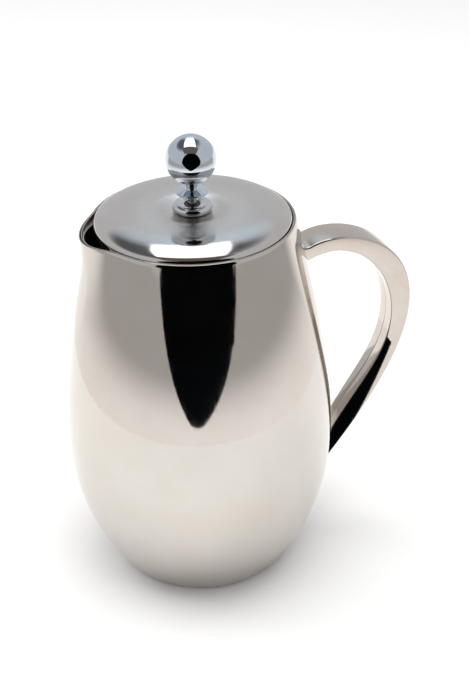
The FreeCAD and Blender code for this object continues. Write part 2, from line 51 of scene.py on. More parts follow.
LOG = logging.getLogger("coffee_press")
MM = 0.001
ROUND_SEGMENTS = 192
SMALL_SEGMENTS = 96
SHARP_ANGLE = math.radians(38.0)
WIRE_SHARP_ANGLE = math.radians(75.0)
MERGE_REACH = 0.0005  # points nearer than this are one
NOISE_SPREAD = (0.35, 0.68)  # the part of its range that a noise mostly covers
STAIN_SPREAD = (0.35, 0.75)
MARK_SHARE = 0.45  # how much of the blur follows the marks; the rest follows the patches
STREAK_LENGTH = 30.0  # how many times longer than wide a drawn streak is
RING_DRIFT = 60.0  # how fast a ring's tone drifts along its way round, in steps a metre

Pair = tuple[float, float]
Spot = tuple[float, float, float]
Value = Union[float, Sequence[float], bpy.types.NodeSocket]

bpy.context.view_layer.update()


class Rider(Enum):
    """The bodies that pieces ride on."""

    POT = "pot"
    LID = "lid"
    PLUNGER = "plunger"


class Grain(Enum):
    """The way that a steel surface was worked last."""

    DRAWN = "drawn"      # straight streaks up and down
    TURNED = "turned"    # rings about the upright axis
    TUMBLED = "tumbled"  # no direction


# ---------------------------------------------------------------- colours and nodes

def linear(code: str) -> tuple[float, float, float, float]:
    """Turns an sRGB hex colour into linear values.

    Args:
        code: Six hex digits, such as "d8d2ca".

    Returns:
        Red, green and blue as linear light, and an alpha of 1.
    """
    parts = []
    for start in (0, 2, 4):
        share = int(code[start:start + 2], 16) / 255.0
        parts.append(share / 12.92 if share <= 0.04045 else ((share + 0.055) / 1.055) ** 2.4)
    return (parts[0], parts[1], parts[2], 1.0)


def add_node(
    tree: bpy.types.NodeTree, kind: str, links: Optional[dict] = None, **settings: object
) -> bpy.types.Node:
    """Adds one node with its settings, values and links.

    Args:
        tree: The node tree to add it to.
        kind: The node's type name.
        links: Input name or number, with the value it takes or the output socket that feeds it.
        **settings: Properties of the node itself.

    Returns:
        The new node.
    """
    node = tree.nodes.new(kind)
    for name, value in settings.items():
        setattr(node, name, value)
    for key, value in (links or {}).items():
        if isinstance(value, bpy.types.NodeSocket):
            tree.links.new(value, node.inputs[key])
        else:
            node.inputs[key].default_value = value
    return node


def from_axis(tree: bpy.types.NodeTree, spot: bpy.types.NodeSocket) -> bpy.types.NodeSocket:
    """Adds the nodes that give a place's distance from the upright axis."""
    flat = add_node(tree, "ShaderNodeVectorMath", {0: spot, 1: (1.0, 1.0, 0.0)}, operation="MULTIPLY")
    return add_node(tree, "ShaderNodeVectorMath", {0: flat.outputs[0]}, operation="LENGTH").outputs["Value"]


def new_material(name: str) -> tuple[bpy.types.Material, bpy.types.NodeTree]:
    """Starts a material and gives it with its node tree."""
    material = bpy.data.materials.new(name)
    material.use_nodes = True
    return material, material.node_tree


def put_in_scene(name: str, data: bpy.types.ID) -> bpy.types.Object:
    """Puts a mesh, a light or a camera into the scene as an object at the origin."""
    made = bpy.data.objects.new(name, data)
    bpy.context.scene.collection.objects.link(made)
    return made


@dataclass(frozen=True)
class Steel:
    """A stainless steel surface: its tint, its polish, its haze and the marks of its last working.

    Attributes:
        name: The material's name.
        tint: Its colour as sRGB hex.
        roughness: How blurred its reflections are where it is cleanest.
        haze: How much more blurred they are where it is dullest.
        haze_size: How large the dull patches are.
        grain: The direction of its marks.
        pitch: The spacing of the marks.
        depth: How deep they are.
        stain: A second tint that the haze leans to.
        worn: How much more blurred it is near the upright axis, where hands and cloths wear it.
        worn_reach: The radii over which that wear fades out.
    """

    name: str
    tint: str
    roughness: float
    haze: float
    haze_size: float
    grain: Grain
    pitch: float
    depth: float
    stain: str
    worn: float = 0.0
    worn_reach: Pair = (30.0, 40.0)

    def marks(self, tree: bpy.types.NodeTree, place: bpy.types.NodeSocket) -> bpy.types.NodeSocket:
        """Gives the coordinates in which the marks are evenly spaced noise.

        Args:
            tree: The material's node tree.
            place: The object coordinates.

        Returns:
            A vector output scaled so that one unit is one mark.
        """
        fine = 1.0 / (self.pitch * MM)
        if self.grain is Grain.TURNED:
            parts = add_node(tree, "ShaderNodeSeparateXYZ", {0: place}).outputs
            scaled = {}
            ways = ((from_axis(tree, place), fine), (parts["Z"], fine), (parts["X"], RING_DRIFT))
            for number, (way, scale) in enumerate(ways):
                grown = add_node(tree, "ShaderNodeMath", {0: way, 1: scale}, operation="MULTIPLY")
                scaled[number] = grown.outputs[0]
            return add_node(tree, "ShaderNodeCombineXYZ", scaled).outputs[0]
        along = fine / STREAK_LENGTH if self.grain is Grain.DRAWN else fine
        return add_node(tree, "ShaderNodeMapping", {"Vector": place, "Scale": (fine, fine, along)}).outputs[0]

    def make(self) -> bpy.types.Material:
        """Builds the material once and returns it.

        Returns:
            The material, with its colour, blur and bump worked out from object coordinates.
        """
        found = bpy.data.materials.get(self.name)
        if found is not None:
            return found
        material, tree = new_material(self.name)
        shader = tree.nodes["Principled BSDF"]
        shader.inputs["Metallic"].default_value = 1.0
        place = add_node(tree, "ShaderNodeTexCoord").outputs["Object"]
        patches = add_node(
            tree, "ShaderNodeTexNoise",
            {"Vector": place, "Scale": 1.0 / (self.haze_size * MM), "Detail": 5.0, "Roughness": 0.6},
        ).outputs[0]
        spots = add_node(
            tree, "ShaderNodeTexNoise",
            {"Vector": self.marks(tree, place), "Scale": 1.0, "Detail": 3.0, "Roughness": 0.65},
        ).outputs[0]
        both = add_node(
            tree, "ShaderNodeMix", {0: MARK_SHARE, 2: patches, 3: spots}, data_type="FLOAT"
        ).outputs[0]
        blur = add_node(
            tree, "ShaderNodeMapRange",
            {"Value": both, "From Min": NOISE_SPREAD[0], "From Max": NOISE_SPREAD[1],
             "To Min": self.roughness, "To Max": self.roughness + self.haze},
        ).outputs[0]
        if self.worn:
            wear = add_node(
                tree, "ShaderNodeMapRange",
                {"Value": from_axis(tree, place), "From Min": self.worn_reach[0] * MM,
                 "From Max": self.worn_reach[1] * MM, "To Min": self.worn, "To Max": 0.0},
                interpolation_type="SMOOTHSTEP",
            ).outputs[0]
            blur = add_node(tree, "ShaderNodeMath", {0: blur, 1: wear}, operation="ADD").outputs[0]
        tree.links.new(blur, shader.inputs["Roughness"])
        share = add_node(
            tree, "ShaderNodeMapRange",
            {"Value": patches, "From Min": STAIN_SPREAD[0], "From Max": STAIN_SPREAD[1]},
        ).outputs[0]
        colour = add_node(
            tree, "ShaderNodeMix", {0: share, 6: linear(self.tint), 7: linear(self.stain)}, data_type="RGBA"
        ).outputs[2]
        tree.links.new(colour, shader.inputs["Base Color"])
        bump = add_node(
            tree, "ShaderNodeBump", {"Strength": 1.0, "Distance": self.depth * MM, "Height": spots}
        ).outputs[0]
        tree.links.new(bump, shader.inputs["Normal"])
        return material


@dataclass(frozen=True)
class Nylon:
    """A small moulded nylon bush: dark and slightly waxy, with the faint pitting of its mould.

    Attributes:
        name: The material's name.
        tint: Its colour as sRGB hex.
        fleck: The paler colour of its pits.
        ior: How strongly it bends light.
        blur: Its roughness at its smoothest and its dullest.
        pit_size: How wide a pit is.
        pit_depth: How deep a pit is.
    """

    name: str = "moulded_nylon"
    tint: str = "23211f"
    fleck: str = "34312e"
    ior: float = 1.53
    blur: Pair = (0.38, 0.55)
    pit_size: float = 0.6
    pit_depth: float = 0.01

    def make(self) -> bpy.types.Material:
        """Builds the nylon once and returns it."""
        found = bpy.data.materials.get(self.name)
        if found is not None:
            return found
        material, tree = new_material(self.name)
        shader = tree.nodes["Principled BSDF"]
        shader.inputs["IOR"].default_value = self.ior
        place = add_node(tree, "ShaderNodeTexCoord").outputs["Object"]
        scale = 1.0 / (self.pit_size * MM)
        pits = add_node(tree, "ShaderNodeTexNoise", {"Vector": place, "Scale": scale}).outputs[0]
        colour = add_node(
            tree, "ShaderNodeMix", {0: pits, 6: linear(self.tint), 7: linear(self.fleck)}, data_type="RGBA"
        ).outputs[2]
        tree.links.new(colour, shader.inputs["Base Color"])
        blur = add_node(
            tree, "ShaderNodeMapRange", {"Value": pits, "To Min": self.blur[0], "To Max": self.blur[1]}
        ).outputs[0]
        tree.links.new(blur, shader.inputs["Roughness"])
        bump = add_node(tree, "ShaderNodeBump", {"Distance": self.pit_depth * MM, "Height": pits}).outputs[0]
        tree.links.new(bump, shader.inputs["Normal"])
        return material


# Deep-drawn 18/10 steel, buffed to a mirror: sharp reflections with faint upright streaks from the buffing.
BODY_STEEL = Steel("mirror_buffed_steel", "d1ccc6", 0.02, 0.07, 38.0, Grain.DRAWN, 1.4, 0.002, "cbc5bd")
# The same steel inside the vessel, satin from the press and the wash.
VESSEL_STEEL = Steel("satin_pressed_steel", "c4c0ba", 0.24, 0.14, 22.0, Grain.TURNED, 0.5, 0.006, "b6b0a8")
# The underside: pressed and left satin.
BASE_STEEL = Steel("satin_base_steel", "bdbab5", 0.28, 0.14, 18.0, Grain.TURNED, 0.6, 0.008, "aaa59e")
# The handle's pressed halves, buffed after welding: a mirror with faint upright streaks.
HANDLE_STEEL = Steel("buffed_handle_steel", "d2cac3", 0.04, 0.08, 24.0, Grain.DRAWN, 1.2, 0.002, "c9beb4")
# The lid: buffed on a wheel, then wiped for years. A soft haze with no direction, dullest near the knob,
# where fingers and cloths reach most.
LID_STEEL = Steel(
    "wheel_buffed_lid_steel", "d2cecb", 0.05, 0.1, 12.0, Grain.TUMBLED, 0.4, 0.0004, "cdc9c5",
    worn=0.2, worn_reach=(24.0, 36.0),
)
# The strainer liner under the lid, spun and left satin.
LINER_STEEL = Steel("spun_liner_steel", "c6c4c0", 0.22, 0.12, 20.0, Grain.TURNED, 0.5, 0.005, "b4b0aa")
# The boss, turned and polished bright.
BOSS_STEEL = Steel("turned_boss_steel", "d4d6d8", 0.05, 0.05, 6.0, Grain.TURNED, 0.4, 0.002, "c9cacb")
# Cast ball and turned collar, chromium over steel: a cool, clean mirror.
KNOB_CHROME = Steel("polished_knob_chrome", "d2d9e0", 0.025, 0.03, 9.0, Grain.TUMBLED, 1.0, 0.0008, "cad2da")
# Centreless-ground rod: bright, with fine rings.
ROD_STEEL = Steel("ground_rod_steel", "c9c9c8", 0.12, 0.08, 12.0, Grain.TURNED, 0.3, 0.003, "bbb9b6")
# Nuts, washer, sleeve and hub as they leave the lathe.
FASTENER_STEEL = Steel("lathe_turned_steel", "b9b8b6", 0.2, 0.12, 7.0, Grain.TURNED, 0.25, 0.008, "a7a5a2")
# The filter's pressed plates.
PLATE_STEEL = Steel("pressed_plate_steel", "c3c1bd", 0.2, 0.12, 15.0, Grain.TUMBLED, 0.7, 0.005, "b2aea7")
# Gauze and spring wire, drawn through a die.
WIRE_STEEL = Steel("drawn_wire_steel", "bebdba", 0.18, 0.1, 8.0, Grain.TUMBLED, 0.5, 0.003, "adaaa5")
BUSH_NYLON = Nylon()


# ---------------------------------------------------------------- outlines and meshes

def bezier(poles: Sequence[Pair], share: float) -> Pair:
    """Gives a point of a Bezier curve.

    Args:
        poles: Its control points.
        share: How far along, from 0 to 1.

    Returns:
        The point.
    """
    points = [Vector(pole) for pole in poles]
    while len(points) > 1:
        points = [first.lerp(second, share) for first, second in zip(points, points[1:])]
    return (points[0].x, points[0].y)


def run(low: float, high: float, count: int) -> list[float]:
    """Gives evenly spaced values.

    Args:
        low: The first value.
        high: The last value.
        count: How many there are.

    Returns:
        The values, both ends included.
    """
    return [low + (high - low) * index / (count - 1) for index in range(count)]


def swing(first: Vector, last: Vector, middle: Vector, count: int) -> list[Pair]:
    """Gives the points of a short arc, both ends included.

    Args:
        first: Where it starts.
        last: Where it ends.
        middle: The centre that it turns about.
        count: How many points it has.

    Returns:
        The points.
    """
    start, end = first - middle, last - middle
    begin = math.atan2(start.y, start.x)
    turn = (math.atan2(end.y, end.x) - begin + math.pi) % math.tau - math.pi
    angles = [begin + turn * share for share in run(0.0, 1.0, count)]
    return [(middle.x + start.length * math.cos(a), middle.y + start.length * math.sin(a)) for a in angles]


def soften(corners: Sequence[Spot], steps: int = 5) -> list[Pair]:
    """Rounds the corners of a closed outline.

    Args:
        corners: Each corner's two places and the radius that rounds it; a radius of 0 leaves it alone.
        steps: How many points make each round.

    Returns:
        The outline, with a guard point beside each round so that the flats stay flat.
    """
    outline: list[Pair] = []
    count = len(corners)
    for index, (across, up, radius) in enumerate(corners):
        here = Vector((across, up))
        if radius <= 0:
            outline.append((across, up))
            continue
        back = Vector(corners[index - 1][:2]) - here
        ahead = Vector(corners[(index + 1) % count][:2]) - here
        half = back.angle(ahead) / 2
        reach = min(radius / math.tan(half), 0.45 * back.length, 0.45 * ahead.length)
        round_radius = reach * math.tan(half)
        first, last = here + back.normalized() * reach, here + ahead.normalized() * reach
        inwards = (back.normalized() + ahead.normalized()).normalized()
        middle = here + inwards * (round_radius / math.sin(half))
        guard = min(0.1 * reach, 0.04 * back.length, 0.04 * ahead.length)
        outline.append(tuple(first + back.normalized() * guard))
        outline.extend(swing(first, last, middle, steps))
        outline.append(tuple(last + ahead.normalized() * guard))
    return outline


def circle(radius: float, level: float, count: int) -> list[Spot]:
    """Gives evenly spaced points on a level circle about the upright axis."""
    angles = [math.tau * turn / count for turn in range(count)]
    return [(radius * math.cos(angle), radius * math.sin(angle), level) for angle in angles]


def levels_of(node: str) -> Pair:
    """Gives a CAD node's lowest and highest level."""
    low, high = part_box(node)
    return (low.z / MM, high.z / MM)


def face_outwards(mesh: bpy.types.Mesh, sharp_angle: float, merge_reach: float = 0.0) -> None:
    """Turns a mesh's faces outwards and shades it smooth between its sharp edges.

    Args:
        mesh: The mesh.
        sharp_angle: The turn past which an edge stays sharp, in radians.
        merge_reach: The distance within which points become one first; 0 leaves them apart.
    """
    work = bmesh.new()
    work.from_mesh(mesh)
    if merge_reach:
        bmesh.ops.remove_doubles(work, verts=work.verts, dist=merge_reach * MM)
    bmesh.ops.recalc_face_normals(work, faces=work.faces)
    work.to_mesh(mesh)
    work.free()
    mesh.shade_smooth()
    mesh.set_sharp_from_angle(angle=sharp_angle)


def mesh_object(
    name: str, spots: Sequence[Sequence[float]], faces: Sequence[Sequence[int]]
) -> bpy.types.Object:
    """Makes a smooth-shaded object from points in millimetres.

    Args:
        name: The object's name.
        spots: Its points.
        faces: The numbers of each face's points.

    Returns:
        The object, its faces turned outwards and its edges sharp where they turn sharply.
    """
    mesh = bpy.data.meshes.new(name)
    mesh.from_pydata([[part * MM for part in spot] for spot in spots], [], faces)
    face_outwards(mesh, SHARP_ANGLE, MERGE_REACH)
    return put_in_scene(name, mesh)


def skin(
    name: str, rings: Sequence[Sequence[Spot]], joined: bool = True, caps: Sequence[Sequence[int]] = ()
) -> bpy.types.Object:
    """Makes a closed surface through rings of points.

    Args:
        name: The object's name.
        rings: The rings, in order; a ring of one point is a pole.
        joined: Whether the last ring is joined to the first.
        caps: Faces that close the ends, as numbers of points.

    Returns:
        The object.
    """
    spots: list[Sequence[float]] = []
    starts = []
    for ring in rings:
        starts.append(len(spots))
        spots.extend(ring)
    faces = []
    for index in range(len(rings) if joined else len(rings) - 1):
        low, high = index, (index + 1) % len(rings)
        first, second = starts[low], starts[high]
        counts = (len(rings[low]), len(rings[high]))
        for turn in range(max(counts)):
            after = (turn + 1) % max(counts)
            if counts == (1, 1):
                continue
            if counts[0] == 1:
                faces.append((first, second + after, second + turn))
            elif counts[1] == 1:
                faces.append((first + turn, first + after, second))
            else:
                faces.append((first + turn, first + after, second + after, second + turn))
    return mesh_object(name, spots, [*faces, *caps])


def turned(name: str, outline: Sequence[Pair], segments: int = SMALL_SEGMENTS) -> bpy.types.Object:
    """Turns a closed outline of radii and heights about the upright axis.

    Args:
        name: The object's name.
        outline: Its radii and heights.
        segments: How many sides stand for the circle.

    Returns:
        The object.
    """
    rings = []
    for radius, level in outline:
        rings.append([(0.0, 0.0, level)] if radius < MERGE_REACH else circle(radius, level, segments))
    return skin(name, rings)


def place(
    piece: bpy.types.Object, finish: Union[Steel, Nylon], rider: Rider, slot: str, *nodes: str
) -> bpy.types.Object:
    """Dresses a finished piece and hands it to the frame.

    Args:
        piece: The piece.
        finish: What it is made of.
        rider: The body that it rides on.
        slot: The name of a material slot; it is not used.
        *nodes: The CAD nodes that it stands for.

    Returns:
        The piece.
    """
    piece.data.materials.clear()
    piece.data.materials.append(finish.make())
    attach(piece, rider.value)
    if nodes:
        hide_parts(*nodes)
    LOG.info("%s: %d faces on %s", piece.name, len(piece.data.polygons), rider.value)
    return piece


def dress_node(node: str, finish: Union[Steel, Nylon]) -> None:
    """Gives a CAD node that stays in view its finish."""
    material = finish.make()
    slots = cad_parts[node].material_slots
    for slot in slots:
        slot.material = material
    LOG.info("%s: dressed in %s", node, material.name)


# ---------------------------------------------------------------- pot

@dataclass
class PotBody:
    """The double-walled pot: belly, spout and foot outside, drinking vessel inside, base plate under it.

    Attributes:
        height: The rim's height.
        foot_radius: The radius that the belly stands on.
        rim_radius: The belly's radius at the rim.
        pulls: The two middle control points of the belly's side.
    """

    height: float
    foot_radius: float = 42.6
    rim_radius: float = 49.7
    pulls: tuple[Pair, Pair] = ((72.0, 40.6), (77.0, 79.2))
    wall: float = 0.6
    foot_round: float = 1.3
    flange: float = 6.6
    spout_reach: float = 6.6
    spout_half_angle: float = 32.0
    spout_fall: float = 38.0
    spout_power: float = 2.5
    spout_dip: float = 2.2
    vessel_radius: float = 46.0
    mouth_radius: float = 48.47
    floor: float = 12.0
    corner: float = 8.0
    seat_depth: float = 3.0
    channel_fall: float = 26.0
    channel_step: float = 0.3
    plate_wall: float = 0.8
    plate_margin: float = 1.6
    panel_gap: float = 0.3
    side: list[Pair] = field(default_factory=list)

    def __post_init__(self) -> None:
        """Works out the belly's side once."""
        poles = ((self.foot_radius, 0.0), *self.pulls, (self.rim_radius, self.height))
        self.side = [bezier(poles, share) for share in run(0.0, 1.0, 721)]

    def belly(self, level: float) -> float:
        """Gives the belly's radius at a level.

        Args:
            level: The height.

        Returns:
            The radius, between the nearest points of the side.
        """
        low, high = 0, len(self.side) - 1
        while high - low > 1:
            middle = (low + high) // 2
            low, high = (middle, high) if self.side[middle][1] <= level else (low, middle)
        (first, down), (second, up) = self.side[low], self.side[high]
        return first + (second - first) * (level - down) / (up - down)

    def form(self, angle: float) -> float:
        """Gives how far the spout stands out at an angle about the axis, from 0 to 1."""
        off = abs(math.degrees(angle) % 360.0 - 180.0)
        if off >= self.spout_half_angle:
            return 0.0
        return math.cos(math.radians(90.0 * off / self.spout_half_angle)) ** 2

    def depth(self, level: float) -> float:
        """Gives how far the spout's middle stands out of the belly at a level."""
        return self.spout_reach * max(1.0 - (self.height - level) / self.spout_fall, 0.0) ** self.spout_power

    def lip(self, angle: float) -> float:
        """Gives the lip's height at an angle.

        Args:
            angle: The angle about the axis.

        Returns:
            The rim's height, lower along the spout's arc towards its tip.
        """
        start = self.rim_radius * math.cos(math.radians(self.spout_half_angle))
        length = self.rim_radius + self.spout_reach - start
        arc = (length ** 2 + self.spout_dip ** 2) / (2.0 * self.spout_dip)
        level = self.height
        for _ in range(3):
            out = -(self.belly(level) + self.depth(level) * self.form(angle)) * math.cos(angle) - start
            if out <= 0:
                return self.height
            level = self.height - arc + math.sqrt(arc ** 2 - min(out, length) ** 2)
        return level

    def wall_rings(self, stations: Sequence[Callable[[float], Pair]], count: int) -> list[list[Spot]]:
        """Places rings whose radius and height are given at each angle.

        Args:
            stations: For each ring, what gives its radius and height at an angle.
            count: How many points go round.

        Returns:
            The rings.
        """
        angles = [math.tau * turn / count for turn in range(count)]
        rings = []
        for station in stations:
            ring = []
            for angle in angles:
                radius, level = station(angle)
                ring.append((radius * math.cos(angle), radius * math.sin(angle), level))
            rings.append(ring)
        return rings

    def rounded_lip(self, radius: Callable[[float], float]) -> list[Callable[[float], Pair]]:
        """Gives the stations over a rounded lip, from its outside to its inside.

        Args:
            radius: What gives the lip's outer radius at an angle.

        Returns:
            The stations.
        """
        half = self.wall / 2.0

        def station(turn: float) -> Callable[[float], Pair]:
            """Makes the station at one turn of the round."""
            def at(angle: float) -> Pair:
                """Gives the round's radius and height at an angle."""
                middle = radius(angle) - half
                return (middle + half * math.cos(turn), self.lip(angle) - half + half * math.sin(turn))
            return at

        return [station(turn) for turn in run(0.0, math.pi, 9)]

    def outer_wall(self) -> bpy.types.Object:
        """Makes the outside wall: foot flange, belly, spout and rounded lip.

        Returns:
            The wall as one closed shell.
        """
        half = self.wall / 2.0

        def on_side(share: float, inset: float, floor: float) -> Callable[[float], Pair]:
            """Makes a station at a share of the way from a floor to the lip."""
            def at(angle: float) -> Pair:
                """Gives the wall's radius and height at an angle."""
                level = floor + (self.lip(angle) - half - floor) * share
                return (self.belly(level) + self.depth(level) * self.form(angle) - inset, level)
            return at

        def flat(radius: float, level: float) -> Callable[[float], Pair]:
            """Makes a round station."""
            return lambda angle: (radius, level)

        inner, start = self.foot_radius - self.flange, self.foot_round * 1.15
        foot = [flat(inner, 0.0), flat(self.foot_radius - self.foot_round * 1.1, 0.0)]
        outward = self.belly(start)
        for turn in run(math.radians(-90.0), math.radians(-22.0), 7):
            foot.append(flat(
                self.foot_radius - self.foot_round + (self.foot_round + 0.02) * math.cos(turn),
                self.foot_round * (1.0 + math.sin(turn)),
            ))
        foot.append(flat(outward, start))
        outside = [on_side(share, 0.0, start) for share in run(0.0, 1.0, 132)[1:]]
        lip = self.rounded_lip(
            lambda angle: self.belly(self.lip(angle)) + self.depth(self.lip(angle)) * self.form(angle)
        )
        inside = [on_side(share, self.wall, self.wall) for share in reversed(run(0.0, 1.0, 60))]
        stations = foot + outside + lip[1:-1] + inside + [flat(inner, self.wall)]
        wall = skin("outer_wall", self.wall_rings(stations, ROUND_SEGMENTS * 2))
        return place(wall, BODY_STEEL, Rider.POT, "mirror_steel", "outer_shell")

    def vessel_lining(self) -> bpy.types.Object:
        """Makes the drinking vessel: floor, well, spout channel, seat and mouth with its own rounded lip.

        Returns:
            The vessel as one closed shell.
        """
        seat, split = self.height - self.seat_depth, self.height - self.channel_fall
        full = self.mouth_radius - self.vessel_radius + self.depth(seat) - self.channel_step
        half = self.wall / 2.0

        def well(level: float, inset: float) -> Callable[[float], Pair]:
            """Makes a station of the well and its channel."""
            share = min(max((level - split) / (seat - split), 0.0), 1.0)
            bulge = full * share * share * (3.0 - 2.0 * share)
            return lambda angle: (self.vessel_radius + inset + bulge * self.form(angle), level)

        def corner(turn: float, inset: float) -> Callable[[float], Pair]:
            """Makes a station of the rounded floor corner."""
            size = self.corner + inset
            place_out = self.vessel_radius - self.corner + size * math.sin(turn)
            return lambda angle: (place_out, self.floor + self.corner - size * math.cos(turn))

        def mouth(share: float, inset: float, floor: float) -> Callable[[float], Pair]:
            """Makes a station of the mouth above the seat."""
            def at(angle: float) -> Pair:
                """Gives the mouth's radius and height at an angle."""
                level = floor + (self.lip(angle) - half - floor) * share
                return (self.mouth_radius + inset + self.depth(level) * self.form(angle), level)
            return at

        levels = run(self.floor + self.corner, split, 12) + run(split, seat, 24)[1:]
        turns = run(0.0, math.pi / 2.0, 9)
        inside = [corner(turn, 0.0) for turn in turns] + [well(level, 0.0) for level in levels[1:]]
        inside += [mouth(share, 0.0, seat) for share in run(0.0, 1.0, 6)]
        lip = list(reversed(self.rounded_lip(
            lambda angle: self.mouth_radius + self.wall + self.depth(self.lip(angle)) * self.form(angle)
        )))
        under = seat - self.wall
        outside = [mouth(share, self.wall, under) for share in run(1.0, 0.0, 6)]
        outer_levels = [level for level in reversed(levels[1:]) if level < under - 0.1]
        outside += [well(under, self.wall)] + [well(level, self.wall) for level in outer_levels]
        outside += [corner(turn, self.wall) for turn in reversed(turns)]
        rings = self.wall_rings(inside + lip[1:-1] + outside, ROUND_SEGMENTS)
        rings = [[(0.0, 0.0, self.floor)], *rings, [(0.0, 0.0, self.floor - self.wall)]]
        lining = skin("vessel_lining", rings, joined=False)
        return place(lining, VESSEL_STEEL, Rider.POT, "vessel_steel", "inner_vessel")

    def base(self) -> bpy.types.Object:
        """Makes the base plate: a flat panel in a rim, with pressed bends.

        Returns:
            The plate.
        """
        thick, panel = self.plate_wall, self.foot_radius - self.flange - self.panel_gap
        edge, flange = self.foot_radius - self.plate_margin, self.wall
        plate = turned("base_panel", soften([
            (0.0, 0.0, 0.0), (panel, 0.0, 0.25), (panel, flange, 0.0), (edge, flange, 0.15),
            (edge, flange + thick, 0.25), (panel - thick, flange + thick, 0.3), (panel - thick, thick, 0.2),
            (0.0, thick, 0.0),
        ]), ROUND_SEGMENTS)
        return place(plate, BASE_STEEL, Rider.POT, "base_steel", "base_plate")

    def build(self) -> None:
        """Builds every piece of the pot but its handle."""
        self.outer_wall()
        self.vessel_lining()
        self.base()


@dataclass
class Handle:
    """The hollow loop handle: two pressed halves that meet in a seam along its middle.

    Attributes:
        pot: The pot that its ends are welded to.
        inner_round: The least round on the inside of its wall.
        parting: Half the gap between the two halves.
        sink: How far its ends sink into the belly.
        run_in: How far an edge runs on past its end, for each unit of its share.
        look_past: How far past its ends the belly's face is looked for.
        halvings: How often the search for that face halves its step.
        sections: How many sections follow its loop.
    """

    pot: PotBody
    root: float = 57.0
    reach: float = 55.5
    foot: float = 30.0
    drop: float = 22.0
    top_width: float = 17.4
    foot_width: float = 10.0
    wall: float = 1.0
    edge_round: float = 0.9
    seam_round: float = 0.28
    inner_round: float = 0.2
    parting: float = 0.01
    sink: float = 0.25
    run_in: float = 100.0
    look_past: float = 0.06
    halvings: int = 26
    sections: int = 97
    outer: tuple[Pair, ...] = ((0.0, 1.0), (0.483, 1.096), (1.93, 0.879), (0.638, 0.286), (0.054, 0.0))
    inner: tuple[Pair, ...] = ((0.0, 0.947), (0.766, 1.088), (1.308, 0.502), (0.521, 0.495), (0.171, 0.128))

    def edge(self, poles: Sequence[Pair], share: float) -> Vector:
        """Gives a point of one edge, run on level into the belly past its ends.

        Args:
            poles: The edge's control points as shares of reach and rise.
            share: How far along, a little outside 0 to 1 for the run into the belly.

        Returns:
            The point as distance from the axis and height.
        """
        rise = self.pot.height - self.drop - self.foot
        within = min(max(share, 0.0), 1.0)
        out, up = bezier(poles, within)
        past = abs(share - within) * self.run_in
        return Vector((self.root + self.reach * out - past, self.foot + rise * up))

    def half_width(self, level: float) -> float:
        """Gives half the handle's width at a level."""
        share = (level - self.foot) / (self.pot.height - self.drop - self.foot)
        return (self.foot_width + (self.top_width - self.foot_width) * share) / 2.0

    def section(self, share: float, inset: float, backwards: bool) -> list[Spot]:
        """Gives the outline of one half across the handle, on the +Y side.

        Args:
            share: How far along the handle.
            inset: How far the outline is drawn in, for the inside of the wall.
            backwards: Whether it runs back, as the inside does.

        Returns:
            Its points, from the seam on the outer face to the seam on the inner face.
        """
        top, low = self.edge(self.outer, share), self.edge(self.inner, share)
        across = low - top
        length = across.length
        unit = across / length
        size = self.edge_round - min(inset, self.edge_round - self.inner_round)
        seam = self.seam_round if inset == 0 else 0.0
        points: list[tuple[float, float]] = []

        def add_round(middle: Pair, radius: float, first: float, last: float) -> None:
            """Adds a round to the points, as depth down the section and distance from the middle."""
            for turn in run(math.radians(first), math.radians(last), 6):
                points.append((middle[0] - radius * math.cos(turn), middle[1] + radius * math.sin(turn)))

        start_half = self.half_width(top.y) - inset
        end_half = self.half_width(low.y) - inset
        points.append((inset, self.parting))
        add_round((inset + size, start_half - size), size, 0.0, 90.0)
        add_round((length - inset - size, end_half - size), size, 90.0, 180.0)
        if seam:
            add_round((length - seam, seam + self.parting), seam, 180.0, 270.0)
        else:
            points.append((length - inset, self.parting))
        placed = [(top.x + unit.x * down, out, top.y + unit.y * down) for down, out in points]
        return list(reversed(placed)) if backwards else placed

    def outside_belly(self, spot: Spot) -> float:
        """Gives how far a point stands out of the belly, less what its end sinks in."""
        across, side, level = spot
        return math.hypot(across, side) - self.pot.belly(level) + self.sink

    def span(self, number: int) -> Pair:
        """Finds where one line along the handle leaves the belly at its top and its foot.

        Args:
            number: The line's number in the section.

        Returns:
            The shares at which it crosses the belly's face.
        """
        found = []
        for inside, outside in ((-self.look_past, 0.3), (1.0 + self.look_past, 0.7)):
            for _ in range(self.halvings):
                middle = (inside + outside) / 2.0
                spot = self.loop(middle)[number]
                inside, outside = (inside, middle) if self.outside_belly(spot) > 0 else (middle, outside)
            found.append(outside)
        return (found[0], found[1])

    def loop(self, share: float) -> list[Spot]:
        """Gives the whole section of one half, outside then inside."""
        return self.section(share, 0.0, False) + self.section(share, self.wall, True)

    def half(self, name: str, side: float, node: str) -> bpy.types.Object:
        """Makes one half.

        Args:
            name: The piece's name.
            side: 1 for the +Y half and -1 for the other.
            node: The CAD node that it stands for.

        Returns:
            The half, a thin-walled channel closed at its edges.
        """
        spans = [self.span(number) for number in range(len(self.loop(0.5)))]
        rings = []
        for step in run(0.0, 1.0, self.sections):
            cache: dict[float, list[Spot]] = {}
            ring = []
            for number, (first, last) in enumerate(spans):
                share = first + (last - first) * step
                if share not in cache:
                    cache[share] = self.loop(share)
                across, out, level = cache[share][number]
                ring.append((across, out * side, level))
            rings.append(ring)
        count = len(rings[0])
        caps = []
        for turn in range(count // 2 - 1):
            back = count - 1 - turn
            for end in (0, (len(rings) - 1) * count):
                caps.append((end + turn, end + turn + 1, end + back - 1, end + back))
        return place(skin(name, rings, False, caps), HANDLE_STEEL, Rider.POT, "handle_steel", node)

    def build(self) -> None:
        """Builds both halves."""
        self.half("handle_left_half", 1.0, "handle_left_shell")
        self.half("handle_right_half", -1.0, "handle_right_shell")


# ---------------------------------------------------------------- lid

